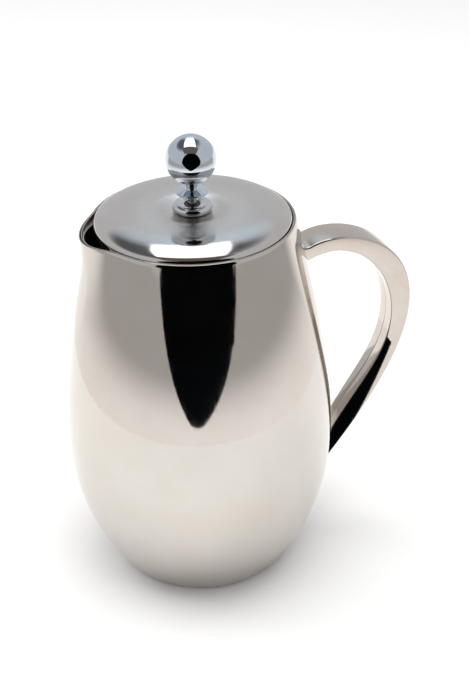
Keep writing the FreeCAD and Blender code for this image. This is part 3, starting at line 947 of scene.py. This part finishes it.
@dataclass
class Lid:
    """The lid: a low pressed cover, the boss that guides the rod, the strainer liner and what holds them.

    Attributes:
        height: The pot's rim height.
        seat: The level that the cover's skirt rests on.
    """

    height: float
    radius: float = 48.0
    wall: float = 0.8
    seat_depth: float = 3.0
    crown_rise: float = 5.9
    crown_radius: float = 20.0
    seat_rise: float = 4.3
    seat_radius: float = 9.8
    shoulder: float = 4.2
    edge_drop: float = 0.8
    dish_pull: float = 0.4
    shoulder_pull: float = 0.57
    bore: float = 6.05
    shank: float = 6.0
    boss_bore: float = 4.05
    boss_foot: float = 7.6
    boss_radius: float = 9.65
    boss_waist: float = 2.0
    boss_top: float = 6.45
    boss_rounds: Pair = (2.05, 2.5)
    boss_chamfer: float = 0.5

    def side(self, inset: float) -> list[Pair]:
        """Gives the cover's section from its hole to its foot, drawn in by inset.

        Args:
            inset: The distance from the outside face.

        Returns:
            The section's points.
        """
        top = self.height - inset
        seat, crown = top + self.seat_rise, top + self.crown_rise
        edge, low = self.radius - inset, self.height - self.edge_drop
        pull = (self.crown_radius - self.seat_radius) * self.dish_pull
        reach = (edge - self.crown_radius) * self.shoulder_pull
        dish = ((self.seat_radius, seat), (self.seat_radius + pull, seat),
                (self.crown_radius - pull, crown), (self.crown_radius, crown))
        bend = ((self.crown_radius, crown), (self.crown_radius + reach, crown),
                (edge, top + self.shoulder), (edge, low))
        points = [(self.bore, seat), (self.bore + 0.2, seat)]
        points += [bezier(dish, share) for share in run(0.0, 1.0, 17)]
        points += [bezier(bend, share) for share in run(0.0, 1.0, 65)[1:]]
        return points

    def cover(self) -> bpy.types.Object:
        """Makes the pressed cover with a rounded edge to its skirt.

        Returns:
            The cover.
        """
        foot, half = self.height - self.seat_depth, self.wall / 2.0
        edge = self.radius - half
        outside, inside = self.side(0.0), self.side(self.wall)
        hem = [(self.radius, foot + half * 1.4)]
        for turn in run(0.0, -math.pi, 9):
            hem.append((edge + half * math.cos(turn), foot + half + half * math.sin(turn)))
        hem.append((self.radius - self.wall, foot + half * 1.4))
        cover = turned("lid_dome", outside + hem + list(reversed(inside)), ROUND_SEGMENTS)
        return place(cover, LID_STEEL, Rider.LID, "lid_steel", "lid_cover")

    def boss(self) -> bpy.types.Object:
        """Makes the polished boss with its waist, its dished top and its shank down through the lid.

        Returns:
            The boss.
        """
        low, high = levels_of("guide_boss")
        crown, bore, shank = self.height + self.seat_rise, self.boss_bore, self.shank
        foot, top = (self.boss_foot, crown), (self.boss_top, high)
        waist = (self.boss_radius, crown + self.boss_waist)
        outline = [(bore, low), (shank - 0.4, low), (shank, low + 0.4), (shank, crown), foot]
        outline += arc_between(foot, waist, self.boss_rounds[0], 8)
        outline += arc_between(waist, top, self.boss_rounds[1], 12)
        outline += [(bore + self.boss_chamfer, high - 0.55), (bore, high - 0.75)]
        return place(turned("rod_guide", outline), BOSS_STEEL, Rider.LID, "boss_steel", "guide_boss")

    def build(self) -> None:
        """Builds the lid's pieces and dresses the ones that stay as they are."""
        self.cover()
        self.boss()
        for node in ("lid_sleeve", "boss_washer", "boss_nut"):
            dress_node(node, FASTENER_STEEL)
        dress_node("lid_liner", LINER_STEEL)
        dress_node("guide_bush", BUSH_NYLON)


def arc_between(start: Pair, finish: Pair, radius: float, count: int) -> list[Pair]:
    """Gives a short arc that bulges away from the axis.

    Args:
        start: Where it starts, lower down.
        finish: Where it ends.
        radius: Its radius.
        count: How many points it has after its start.

    Returns:
        The points.
    """
    first, last = Vector(start), Vector(finish)
    chord = last - first
    height = math.sqrt(max(radius ** 2 - chord.length_squared / 4.0, 0.0))
    middle = (first + last) / 2.0 + Vector((-chord.y, chord.x)).normalized() * height
    return swing(first, last, middle, count + 1)[1:]


# ---------------------------------------------------------------- geometry nodes

@dataclass
class Weave:
    """A node tree that makes what repeats, with named inputs for its sizes.

    Attributes:
        name: The tree's name and the name of the piece that it makes.
        inputs: Its sizes, each with the value given to it; a whole number stays whole.
    """

    name: str
    inputs: dict[str, Union[int, float]]
    tree: bpy.types.NodeTree = field(init=False)
    group: bpy.types.Node = field(init=False)
    sockets: dict[str, str] = field(default_factory=dict)

    def __post_init__(self) -> None:
        """Starts the tree and its named inputs."""
        self.tree = bpy.data.node_groups.new(self.name, "GeometryNodeTree")
        self.tree.interface.new_socket(name="Geometry", in_out="OUTPUT", socket_type="NodeSocketGeometry")
        kinds = {
            label: "NodeSocketInt" if isinstance(value, int) else "NodeSocketFloat"
            for label, value in self.inputs.items()
        }
        for label, kind in {**kinds, "Material": "NodeSocketMaterial"}.items():
            socket = self.tree.interface.new_socket(name=label, in_out="INPUT", socket_type=kind)
            self.sockets[label] = socket.identifier
        self.group = add_node(self.tree, "NodeGroupInput")

    def size(self, label: str) -> bpy.types.NodeSocket:
        """Gives the output that carries one input."""
        return self.group.outputs[label]

    def add(self, kind: str, links: Optional[dict] = None, **settings: object) -> bpy.types.NodeSocket:
        """Adds a node to the tree and gives its first output."""
        return add_node(self.tree, kind, links, **settings).outputs[0]

    def join(self, *parts: bpy.types.NodeSocket) -> bpy.types.NodeSocket:
        """Joins several pieces of geometry into one."""
        whole = add_node(self.tree, "GeometryNodeJoinGeometry")
        for part in parts:
            self.tree.links.new(part, whole.inputs[0])
        return whole.outputs[0]

    def wires(self, curves: bpy.types.NodeSocket, sides: int) -> None:
        """Ends the tree: round wires along curves, made real and given the material.

        Args:
            curves: The wires' middle lines.
            sides: How many sides a wire has.
        """
        radius = self.size("Wire Radius")
        section = self.add("GeometryNodeCurvePrimitiveCircle", {"Resolution": sides, "Radius": radius})
        mesh = self.add(
            "GeometryNodeCurveToMesh", {"Curve": curves, "Profile Curve": section, "Fill Caps": True}
        )
        real = self.add("GeometryNodeRealizeInstances", {0: mesh})
        dressed = self.add("GeometryNodeSetMaterial", {"Geometry": real, "Material": self.size("Material")})
        add_node(self.tree, "NodeGroupOutput", {0: dressed})

    def make(self, material: bpy.types.Material) -> bpy.types.Object:
        """Runs the tree and turns its result into a plain mesh.

        Args:
            material: The material given to it.

        Returns:
            The finished piece, with no modifier left on it.
        """
        holder = put_in_scene(self.name + "_holder", bpy.data.meshes.new(self.name + "_empty"))
        modifier = holder.modifiers.new("make", "NODES")
        modifier.node_group = self.tree
        for label, value in self.inputs.items():
            modifier[self.sockets[label]] = value
        modifier[self.sockets["Material"]] = material
        depsgraph = bpy.context.evaluated_depsgraph_get()
        mesh = bpy.data.meshes.new_from_object(holder.evaluated_get(depsgraph))
        bpy.data.objects.remove(holder)
        mesh.name = self.name
        face_outwards(mesh, WIRE_SHARP_ANGLE)
        return put_in_scene(self.name, mesh)


# ---------------------------------------------------------------- plunger

@dataclass
class Knob:
    """The ball knob on its collar, at the top of the rod."""

    ball_radius: float = 12.2
    collar_radius: float = 8.05
    neck_radius: float = 3.0
    bore: float = 2.05
    hole_depth: float = 8.0
    drill_point: float = 1.0
    under: float = 0.7
    lip: float = 1.5
    slope: float = 2.8
    ball_segments: int = 144

    def ball(self) -> bpy.types.Object:
        """Makes the ball, flat where it sits on the neck and bored for the rod.

        Returns:
            The ball.
        """
        low, high = levels_of("knob_ball")
        middle = high - self.ball_radius
        seat = math.acos((middle - low) / self.ball_radius)
        outline = [(self.bore, low), (self.ball_radius * math.sin(seat) - 0.15, low)]
        for turn in run(seat, math.pi, 72):
            outline.append((self.ball_radius * math.sin(turn), middle - self.ball_radius * math.cos(turn)))
        outline[-1] = (0.0, high)
        outline += [(0.0, low + self.hole_depth + self.drill_point), (self.bore, low + self.hole_depth)]
        ball = turned("knob_sphere", outline, self.ball_segments)
        return place(ball, KNOB_CHROME, Rider.PLUNGER, "knob_steel", "knob_ball")

    def collar(self) -> bpy.types.Object:
        """Makes the turned collar and neck under the ball.

        Returns:
            The collar.
        """
        low, high = levels_of("knob_collar")
        under, lip, top = low + self.under, low + self.lip, low + self.slope
        collar = turned("knob_foot", soften([
            (self.bore, low, 0.0), (self.neck_radius, low, 0.1), (self.collar_radius, under, 0.4),
            (self.collar_radius, lip, 0.4), (self.neck_radius, top, 1.0), (self.neck_radius, high, 0.0),
            (self.bore, high, 0.0),
        ], 7))
        return place(collar, KNOB_CHROME, Rider.PLUNGER, "knob_steel", "knob_collar")

    def build(self) -> None:
        """Builds the ball and the collar."""
        self.ball()
        self.collar()


@dataclass
class Plunger:
    """The rod and its filter: nut, windowed plate, woven gauze, sprung plate with its edge coil, and hub."""

    rod_radius: float = 2.25
    tip_radius: float = 2.0
    thread_pitch: float = 0.8
    thread_depth: float = 0.25
    thread_lead: float = 0.3
    chamfer: float = 0.15
    coil_turns: int = 118
    coil_steps: int = 12
    coil_wire: float = 0.35
    gauze_pitch: float = 1.2
    hoop_sides: int = 128

    def rod(self) -> bpy.types.Object:
        """Makes the rod with chamfered shoulders and threaded tips.

        Returns:
            The rod.
        """
        low, high = levels_of("plunger_rod")
        hub_top, collar = levels_of("filter_hub")[1], levels_of("knob_collar")[0]
        root, lead, chamfer = self.tip_radius - self.thread_depth, self.thread_lead, self.chamfer

        def thread(start: float, finish: float) -> list[Pair]:
            """Gives a thread's outline as evenly pitched crests and roots."""
            points = []
            for number in range(int((finish - start) / self.thread_pitch)):
                level = start + number * self.thread_pitch
                points += [(self.tip_radius, level), (root, level + self.thread_pitch / 2.0)]
            return points + [(self.tip_radius, finish)]

        outline = [(0.0, low), (root, low)] + thread(low + lead, hub_top - lead)
        outline += [(self.rod_radius - chamfer, hub_top), (self.rod_radius, hub_top + chamfer)]
        outline += [(self.rod_radius, collar - chamfer), (self.rod_radius - chamfer, collar)]
        outline += thread(collar + lead, high - lead) + [(root, high), (0.0, high)]
        return place(turned("rod", outline, 48), ROD_STEEL, Rider.PLUNGER, "rod_steel", "plunger_rod")

    def coil(self) -> bpy.types.Object:
        """Makes the spring that wipes the vessel's wall: one wire wound round and round the plate's edge.

        Returns:
            The spring.
        """
        low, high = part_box("edge_coil")
        half = (high.z - low.z) / 2.0
        wire = self.coil_wire * MM
        weave = Weave("wiper_spring", {
            "Ring Radius": high.x - half, "Coil Radius": half - wire, "Wire Radius": wire,
            "Level": (low.z + high.z) / 2.0, "Turns": self.coil_turns, "Steps": self.coil_steps,
        })
        sums, vectors = "ShaderNodeMath", "ShaderNodeVectorMath"
        count = weave.add(sums, {0: weave.size("Turns"), 1: weave.size("Steps")}, operation="MULTIPLY")
        radius = weave.size("Ring Radius")
        ring = weave.add("GeometryNodeCurvePrimitiveCircle", {"Resolution": count, "Radius": radius})
        index = weave.add("GeometryNodeInputIndex")
        swept = weave.add(sums, {0: index, 1: math.tau}, operation="MULTIPLY")
        phase = weave.add(sums, {0: swept, 1: weave.size("Steps")}, operation="DIVIDE")
        waves = []
        for operation, level in (("COSINE", "Ring Radius"), ("SINE", "Level")):
            wave = weave.add(sums, {0: phase}, operation=operation)
            grown = weave.add(sums, {0: wave, 1: weave.size("Coil Radius")}, operation="MULTIPLY")
            waves.append(weave.add(sums, {0: grown, 1: weave.size(level)}, operation="ADD"))
        outward = weave.add(vectors, {0: weave.add("GeometryNodeInputPosition")}, operation="NORMALIZE")
        spoke = weave.add(vectors, {0: outward, "Scale": waves[0]}, operation="SCALE")
        lift = weave.add("ShaderNodeCombineXYZ", {2: waves[1]})
        spot = weave.add(vectors, {0: spoke, 1: lift}, operation="ADD")
        wound = weave.add("GeometryNodeSetPosition", {"Geometry": ring, "Position": spot})
        weave.wires(wound, 6)
        return place(weave.make(WIRE_STEEL.make()), WIRE_STEEL, Rider.PLUNGER, "coil_steel", "edge_coil")

    def gauze(self) -> bpy.types.Object:
        """Makes the woven gauze disc: wires over and under one another, with a hoop round the edge.

        The real cloth has about three wires to the millimetre; it is drawn coarser so that it shows.

        Returns:
            The gauze.
        """
        low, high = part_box("filter_mesh")
        wire = (high.z - low.z) / 4.0
        pitch = self.gauze_pitch * MM
        count = 2 * int(high.x / pitch) + 1
        weave = Weave("woven_gauze", {
            "Radius": high.x - wire, "Pitch": pitch, "Wire Radius": wire, "Level": (low.z + high.z) / 2.0,
            "Wires": count, "Samples": 2 * count - 1,
        })
        sums, radius = "ShaderNodeMath", weave.size("Radius")
        gaps = weave.add(sums, {0: weave.size("Wires"), 1: 1.0}, operation="SUBTRACT")
        step = weave.add(sums, {0: weave.size("Pitch"), 1: 2.0}, operation="DIVIDE")
        half = weave.add(sums, {0: gaps, 1: step}, operation="MULTIPLY")
        minus = weave.add(sums, {0: half, 1: -1.0}, operation="MULTIPLY")
        ends = [weave.add("ShaderNodeCombineXYZ", {0: way}) for way in (minus, half)]
        line = weave.add("GeometryNodeCurvePrimitiveLine", {"Start": ends[0], "End": ends[1]})
        fine = weave.add("GeometryNodeResampleCurve", {"Curve": line, "Count": weave.size("Samples")})
        side, along = (weave.add("ShaderNodeCombineXYZ", {1: way}) for way in (minus, weave.size("Pitch")))
        row = weave.add(
            "GeometryNodeMeshLine", {"Count": weave.size("Wires"), "Start Location": side, "Offset": along}
        )
        laid = weave.add("GeometryNodeInstanceOnPoints", {"Points": row, "Instance": fine})
        warp = weave.add("GeometryNodeRealizeInstances", {0: laid})
        weft = weave.add("GeometryNodeTransform", {"Geometry": warp, "Rotation": (0.0, 0.0, math.pi / 2.0)})
        spot = weave.add("GeometryNodeInputPosition")
        parts = add_node(weave.tree, "ShaderNodeSeparateXYZ", {0: spot}).outputs
        wave = weave.size("Wire Radius")
        for part in (parts[0], parts[1]):
            swept = weave.add(sums, {0: part, 1: math.pi}, operation="MULTIPLY")
            phase = weave.add(sums, {0: swept, 1: weave.size("Pitch")}, operation="DIVIDE")
            cosine = weave.add(sums, {0: phase}, operation="COSINE")
            wave = weave.add(sums, {0: wave, 1: cosine}, operation="MULTIPLY")
        crimped = []
        for curves, sign in ((warp, 1.0), (weft, -1.0)):
            signed = weave.add(sums, {0: wave, 1: sign}, operation="MULTIPLY")
            rise = weave.add(sums, {0: signed, 1: weave.size("Level")}, operation="ADD")
            offset = weave.add("ShaderNodeCombineXYZ", {2: rise})
            crimped.append(weave.add("GeometryNodeSetPosition", {"Geometry": curves, "Offset": offset}))
        beyond = weave.add(sums, {0: from_axis(weave.tree, spot), 1: radius}, operation="GREATER_THAN")
        cloth = weave.join(*crimped)
        trimmed = weave.add(
            "GeometryNodeDeleteGeometry", {"Geometry": cloth, "Selection": beyond}, domain="POINT"
        )
        hoop = weave.add(
            "GeometryNodeCurvePrimitiveCircle", {"Resolution": self.hoop_sides, "Radius": radius}
        )
        level = weave.add("ShaderNodeCombineXYZ", {2: weave.size("Level")})
        raised = weave.add("GeometryNodeTransform", {"Geometry": hoop, "Translation": level})
        weave.wires(weave.join(trimmed, raised), 3)
        return place(weave.make(WIRE_STEEL.make()), WIRE_STEEL, Rider.PLUNGER, "mesh_steel", "filter_mesh")

    def build(self) -> None:
        """Builds the rod and the filter, and dresses the plates that stay as they are."""
        self.rod()
        self.coil()
        self.gauze()
        for node in ("filter_nut", "filter_hub"):
            dress_node(node, FASTENER_STEEL)
        for node in ("cross_plate", "spring_plate"):
            dress_node(node, PLATE_STEEL)


# ---------------------------------------------------------------- studio

@dataclass(frozen=True)
class Card:
    """A plain card that only reflections see.

    Attributes:
        name: Its name.
        outline: Its corners in its own plane.
        origin: Where its plane's own origin is, in the studio's frame.
        upright: Whether it stands across the studio; otherwise it lies level.
        colour: Its colour as sRGB hex.
        strength: How bright it is.
        fade: The distances from the pot over which it comes from the floor's brightness to its own;
            it comes back to the floor's brightness on the side away from the camera too.
        soft: The distances from its own middle over which it turns clear.
        heading: How far an upright card is turned about the upright axis, in degrees; its back is clear.
    """

    name: str
    outline: tuple[Pair, ...]
    origin: Spot
    upright: bool
    colour: str
    strength: float
    fade: Optional[Pair] = None
    soft: Optional[Pair] = None
    heading: Optional[float] = None


def square(across: float, along: float) -> tuple[Pair, ...]:
    """Gives a rectangle about its own middle from half its two sizes."""
    return ((-across, -along), (across, -along), (across, along), (-across, along))


def opening(nose: float, radius: float, left: float, right: float, length: float) -> tuple[Pair, ...]:
    """Gives a level gap with a round nose by the pot, which widens towards the camera.

    Args:
        nose: How far its nose is from the pot's axis.
        radius: The nose's radius.
        left: How far its left side turns from the camera's direction, in degrees.
        right: How far its right side turns.
        length: How long its sides are.

    Returns:
        The outline.
    """
    sides = (math.radians(right), math.radians(left))
    middle = -nose - radius
    round_nose = [(radius * math.cos(a), middle + radius * math.sin(a))
                  for a in run(sides[0], math.pi - sides[1], 9)]
    ends = [(x + way * length * math.sin(side), y - length * math.cos(side))
            for (x, y), way, side in ((round_nose[0], 1.0, sides[0]), (round_nose[-1], -1.0, sides[1]))]
    return (ends[0], *round_nose, ends[1])


def wedge(near: float, far: float, first: float, last: float) -> tuple[Pair, ...]:
    """Gives part of a level ring between two distances and two directions.

    Args:
        near: The inner distance.
        far: The outer distance.
        first: The first direction, in degrees to the right of the camera's side.
        last: The last direction.

    Returns:
        The outline.
    """
    def at(distance: float, degrees: float) -> Pair:
        """Gives the place at a distance and direction."""
        angle = math.radians(degrees)
        return (distance * math.sin(angle), -distance * math.cos(angle))

    directions = run(first, last, 41)
    return tuple([at(near, d) for d in directions] + [at(far, d) for d in reversed(directions)])


def arch(foot: float, half_width: float, middle: float, height: float) -> tuple[Pair, ...]:
    """Gives a doorway with a round top.

    Args:
        foot: Half its width at the floor.
        half_width: Half its width where it is widest.
        middle: The height where it is widest.
        height: How far its top is above that.

    Returns:
        The outline.
    """
    top = [(half_width * math.cos(a), middle + height * math.sin(a)) for a in run(0.0, math.pi, 25)]
    return ((foot, 0.0), *top, (-foot, 0.0))


@dataclass
class Studio:
    """A pale floor, soft lights, a camera, and the cards that stage the reflections of the front view.

    The studio's own frame has X to the camera's right and Y away from it; the pot is turned in it.

    Attributes:
        turn: How far the pot's handle is turned towards the camera, in degrees.
        eye: Where the camera is.
        pitch: How far it looks down, in degrees.
        roll: How far it leans, in degrees.
        lens: Its focal length.
        sensor: The width of its sensor.
        table_glow: How bright the floor reads in reflections behind and beside the pot.
        cards: What the steel reflects. The two gaps are dark and make the black on the belly, the one
            beside the handle makes the black on its lower strut, and the rest make the pale and grey bands
            and the lid's highlight.
    """

    turn: float = 18.0
    eye: Spot = (18.71, -694.475, 529.555)
    pitch: float = 30.632
    roll: float = -1.205
    lens: float = 82.3
    sensor: float = 36.0
    table_glow: float = 1.17
    floor_radius: float = 4000.0
    floor_sides: int = 96
    floor_tint: str = "f4f3f1"
    sky_tint: str = "eceef1"
    sky_glow: float = 0.75
    cards: tuple[Card, ...] = (
        Card(
            "card_table_gap", opening(400.0, 60.0, 37.0, 48.0, 4600.0), (0.0, 0.0, 1.5), False, "05070a", 1.0
        ),
        Card(
            "card_camera_gap", arch(510.0, 820.0, 300.0, 1080.0), (100.0, -900.0, 0.0), True, "040506", 1.0
        ),
        Card(
            "card_table", wedge(320.0, 3900.0, -150.0, 150.0), (0.0, 0.0, 1.0), False, "fffcfb", 0.5,
            fade=(320.0, 780.0),
        ),
        Card(
            "card_overhead", ((-480.0, -150.0), (400.0, -150.0), (150.0, 1050.0), (-250.0, 950.0)),
            (0.0, 0.0, 1240.0), False, "ffffff", 1.9,
        ),
        Card("card_overhead_front", square(640.0, 370.0), (0.0, -520.0, 1240.0), False, "6c645e", 1.0),
        Card(
            "card_haze", square(760.0, 760.0), (0.0, 1250.0, 1260.0), False, "dfeefb", 0.95,
            soft=(150.0, 760.0),
        ),
        Card(
            "card_beside_handle", ((-16.0, 32.0), (22.0, 118.0), (42.0, 98.0), (12.0, 6.0)), (69.4, 3.4, 0.0),
            True, "05070a", 1.0, heading=18.0,
        ),
        Card(
            "card_ceiling", square(1300.0, 1300.0), (-300.0, 420.0, 1320.0), False, "6b6d73", 0.8,
            soft=(650.0, 1300.0),
        ),
    )

    def frame_turn(self) -> Matrix:
        """Gives the turn from the studio's frame to the pot's."""
        return Matrix.Rotation(math.radians(-self.turn), 4, "Z")

    def camera(self) -> None:
        """Sets up the camera."""
        data = bpy.data.cameras.new("camera")
        data.sensor_width = self.sensor
        data.lens = self.lens
        camera = put_in_scene("camera", data)
        pitch, roll = math.radians(self.pitch), math.radians(self.roll)
        ahead = Vector((0.0, math.cos(pitch), -math.sin(pitch)))
        right = Vector((1.0, 0.0, 0.0))
        up = right.cross(ahead)
        level_right = right * math.cos(roll) + up * math.sin(roll)
        level_up = up * math.cos(roll) - right * math.sin(roll)
        turn = Matrix((level_right, level_up, -ahead)).transposed().to_4x4()
        camera.matrix_world = self.frame_turn() @ Matrix.Translation(Vector(self.eye) * MM) @ turn
        data.clip_start, data.clip_end = 0.01, 50.0
        bpy.context.scene.camera = camera

    def paper(self) -> bpy.types.Material:
        """Makes the floor's material: matte pale paper."""
        material, tree = new_material("matte_paper")
        shader = tree.nodes["Principled BSDF"]
        shader.inputs["Base Color"].default_value = linear(self.floor_tint)
        shader.inputs["Roughness"].default_value = 0.9
        shader.inputs["Specular IOR Level"].default_value = 0.1
        return material

    def glow(self, card: Card) -> bpy.types.Material:
        """Makes a card's glow: even, or changing with distance, and clear at its soft edge or on its back.

        Args:
            card: The card.

        Returns:
            The material.
        """
        material, tree = new_material(card.name)
        tree.nodes.clear()
        place = add_node(tree, "ShaderNodeTexCoord").outputs["Object"]
        level: Value = card.strength
        if card.fade is not None:
            length = add_node(tree, "ShaderNodeVectorMath", {0: place}, operation="LENGTH").outputs["Value"]
            away = self.frame_turn() @ Vector((0.0, 1.0, 0.0))
            heading = add_node(tree, "ShaderNodeVectorMath", {0: place}, operation="NORMALIZE").outputs[0]
            behind = add_node(
                tree, "ShaderNodeVectorMath", {0: heading, 1: away}, operation="DOT_PRODUCT"
            ).outputs["Value"]
            near = add_node(
                tree, "ShaderNodeMapRange",
                {"Value": length, "From Min": card.fade[0] * MM, "From Max": card.fade[1] * MM,
                 "To Min": 1.0, "To Max": 0.0}, interpolation_type="SMOOTHSTEP",
            ).outputs[0]
            back = add_node(
                tree, "ShaderNodeMapRange", {"Value": behind, "From Min": 0.3, "From Max": 0.6},
                interpolation_type="SMOOTHSTEP",
            ).outputs[0]
            share = add_node(tree, "ShaderNodeMath", {0: near, 1: back}, operation="MAXIMUM").outputs[0]
            level = add_node(
                tree, "ShaderNodeMapRange",
                {"Value": share, "To Min": card.strength, "To Max": self.table_glow},
            ).outputs[0]
        clear: Optional[bpy.types.NodeSocket] = None
        if card.soft is not None:
            middle = self.frame_turn() @ (Vector(card.origin) * MM)
            span = add_node(
                tree, "ShaderNodeVectorMath", {0: place, 1: middle}, operation="DISTANCE"
            ).outputs["Value"]
            clear = add_node(
                tree, "ShaderNodeMapRange",
                {"Value": span, "From Min": card.soft[0] * MM, "From Max": card.soft[1] * MM},
                interpolation_type="SMOOTHSTEP",
            ).outputs[0]
        elif card.heading is not None:
            clear = add_node(tree, "ShaderNodeNewGeometry").outputs["Backfacing"]
        glowing = {"Color": linear(card.colour), "Strength": level}
        surface = add_node(tree, "ShaderNodeEmission", glowing).outputs[0]
        if clear is not None:
            nothing = add_node(tree, "ShaderNodeBsdfTransparent").outputs[0]
            surface = add_node(tree, "ShaderNodeMixShader", {0: clear, 1: surface, 2: nothing}).outputs[0]
        add_node(tree, "ShaderNodeOutputMaterial", {"Surface": surface})
        return material

    def floor(self) -> None:
        """Makes the floor as one wide disc."""
        ring = circle(self.floor_radius, 0.0, self.floor_sides)
        mesh = bpy.data.meshes.new("floor")
        mesh.from_pydata([[part * MM for part in spot] for spot in ring], [], [range(self.floor_sides)])
        mesh.materials.append(self.paper())
        put_in_scene("floor", mesh)

    def hang_card(self, card: Card) -> None:
        """Makes one reflection card.

        Args:
            card: What it is and where it hangs.
        """
        corners = [Vector((u, 0.0, v)) if card.upright else Vector((u, v, 0.0)) for u, v in card.outline]
        turn = Matrix.Rotation(math.radians(card.heading or 0.0), 3, "Z")
        corners = [turn @ corner for corner in corners]
        whole = self.frame_turn() @ Matrix.Translation(Vector(card.origin))
        mesh = bpy.data.meshes.new(card.name)
        mesh.from_pydata([(whole @ corner) * MM for corner in corners], [], [range(len(corners))])
        mesh.materials.append(self.glow(card))
        hung = put_in_scene(card.name, mesh)
        hung.visible_camera = False
        hung.visible_diffuse = False
        hung.visible_shadow = False
        hung.visible_transmission = False

    def light(self, name: str, middle: Spot, size: Pair, power: float) -> None:
        """Hangs one soft light that aims at the pot and isn't itself reflected.

        Args:
            name: Its name.
            middle: Where it hangs, in the studio's frame.
            size: Its width and height.
            power: Its power in watts.
        """
        data = bpy.data.lights.new(name, "AREA")
        data.shape = "RECTANGLE"
        data.size, data.size_y = size[0] * MM, size[1] * MM
        data.energy = power
        lamp = put_in_scene(name, data)
        spot = self.frame_turn() @ (Vector(middle) * MM)
        aim = (Vector((0.0, 0.0, 0.08)) - spot).to_track_quat("-Z", "Y")
        lamp.matrix_world = Matrix.Translation(spot) @ aim.to_matrix().to_4x4()
        lamp.visible_glossy = False

    def sky(self) -> None:
        """Fills the room with even pale light."""
        world = bpy.data.worlds.new("room")
        world.use_nodes = True
        backdrop = world.node_tree.nodes["Background"]
        backdrop.inputs["Color"].default_value = linear(self.sky_tint)
        backdrop.inputs["Strength"].default_value = self.sky_glow
        bpy.context.scene.world = world

    def build(self) -> None:
        """Sets up the whole studio."""
        bpy.context.scene.view_settings.view_transform = "Standard"
        self.floor()
        self.sky()
        for card in self.cards:
            self.hang_card(card)
        self.light("soft_left", (-750.0, 300.0, 850.0), (700.0, 700.0), 4.0)
        self.light("soft_top", (120.0, -40.0, 1250.0), (1100.0, 1100.0), 12.0)
        self.camera()


def main() -> None:
    """Builds the press, then the studio round it."""
    logging.basicConfig(level=logging.INFO, format="%(message)s")
    height = levels_of("outer_shell")[1]
    pot = PotBody(height)
    pot.build()
    Handle(pot).build()
    Lid(height).build()
    Knob().build()
    Plunger().build()
    Studio().build()


if __name__ == "__main__":
    main()
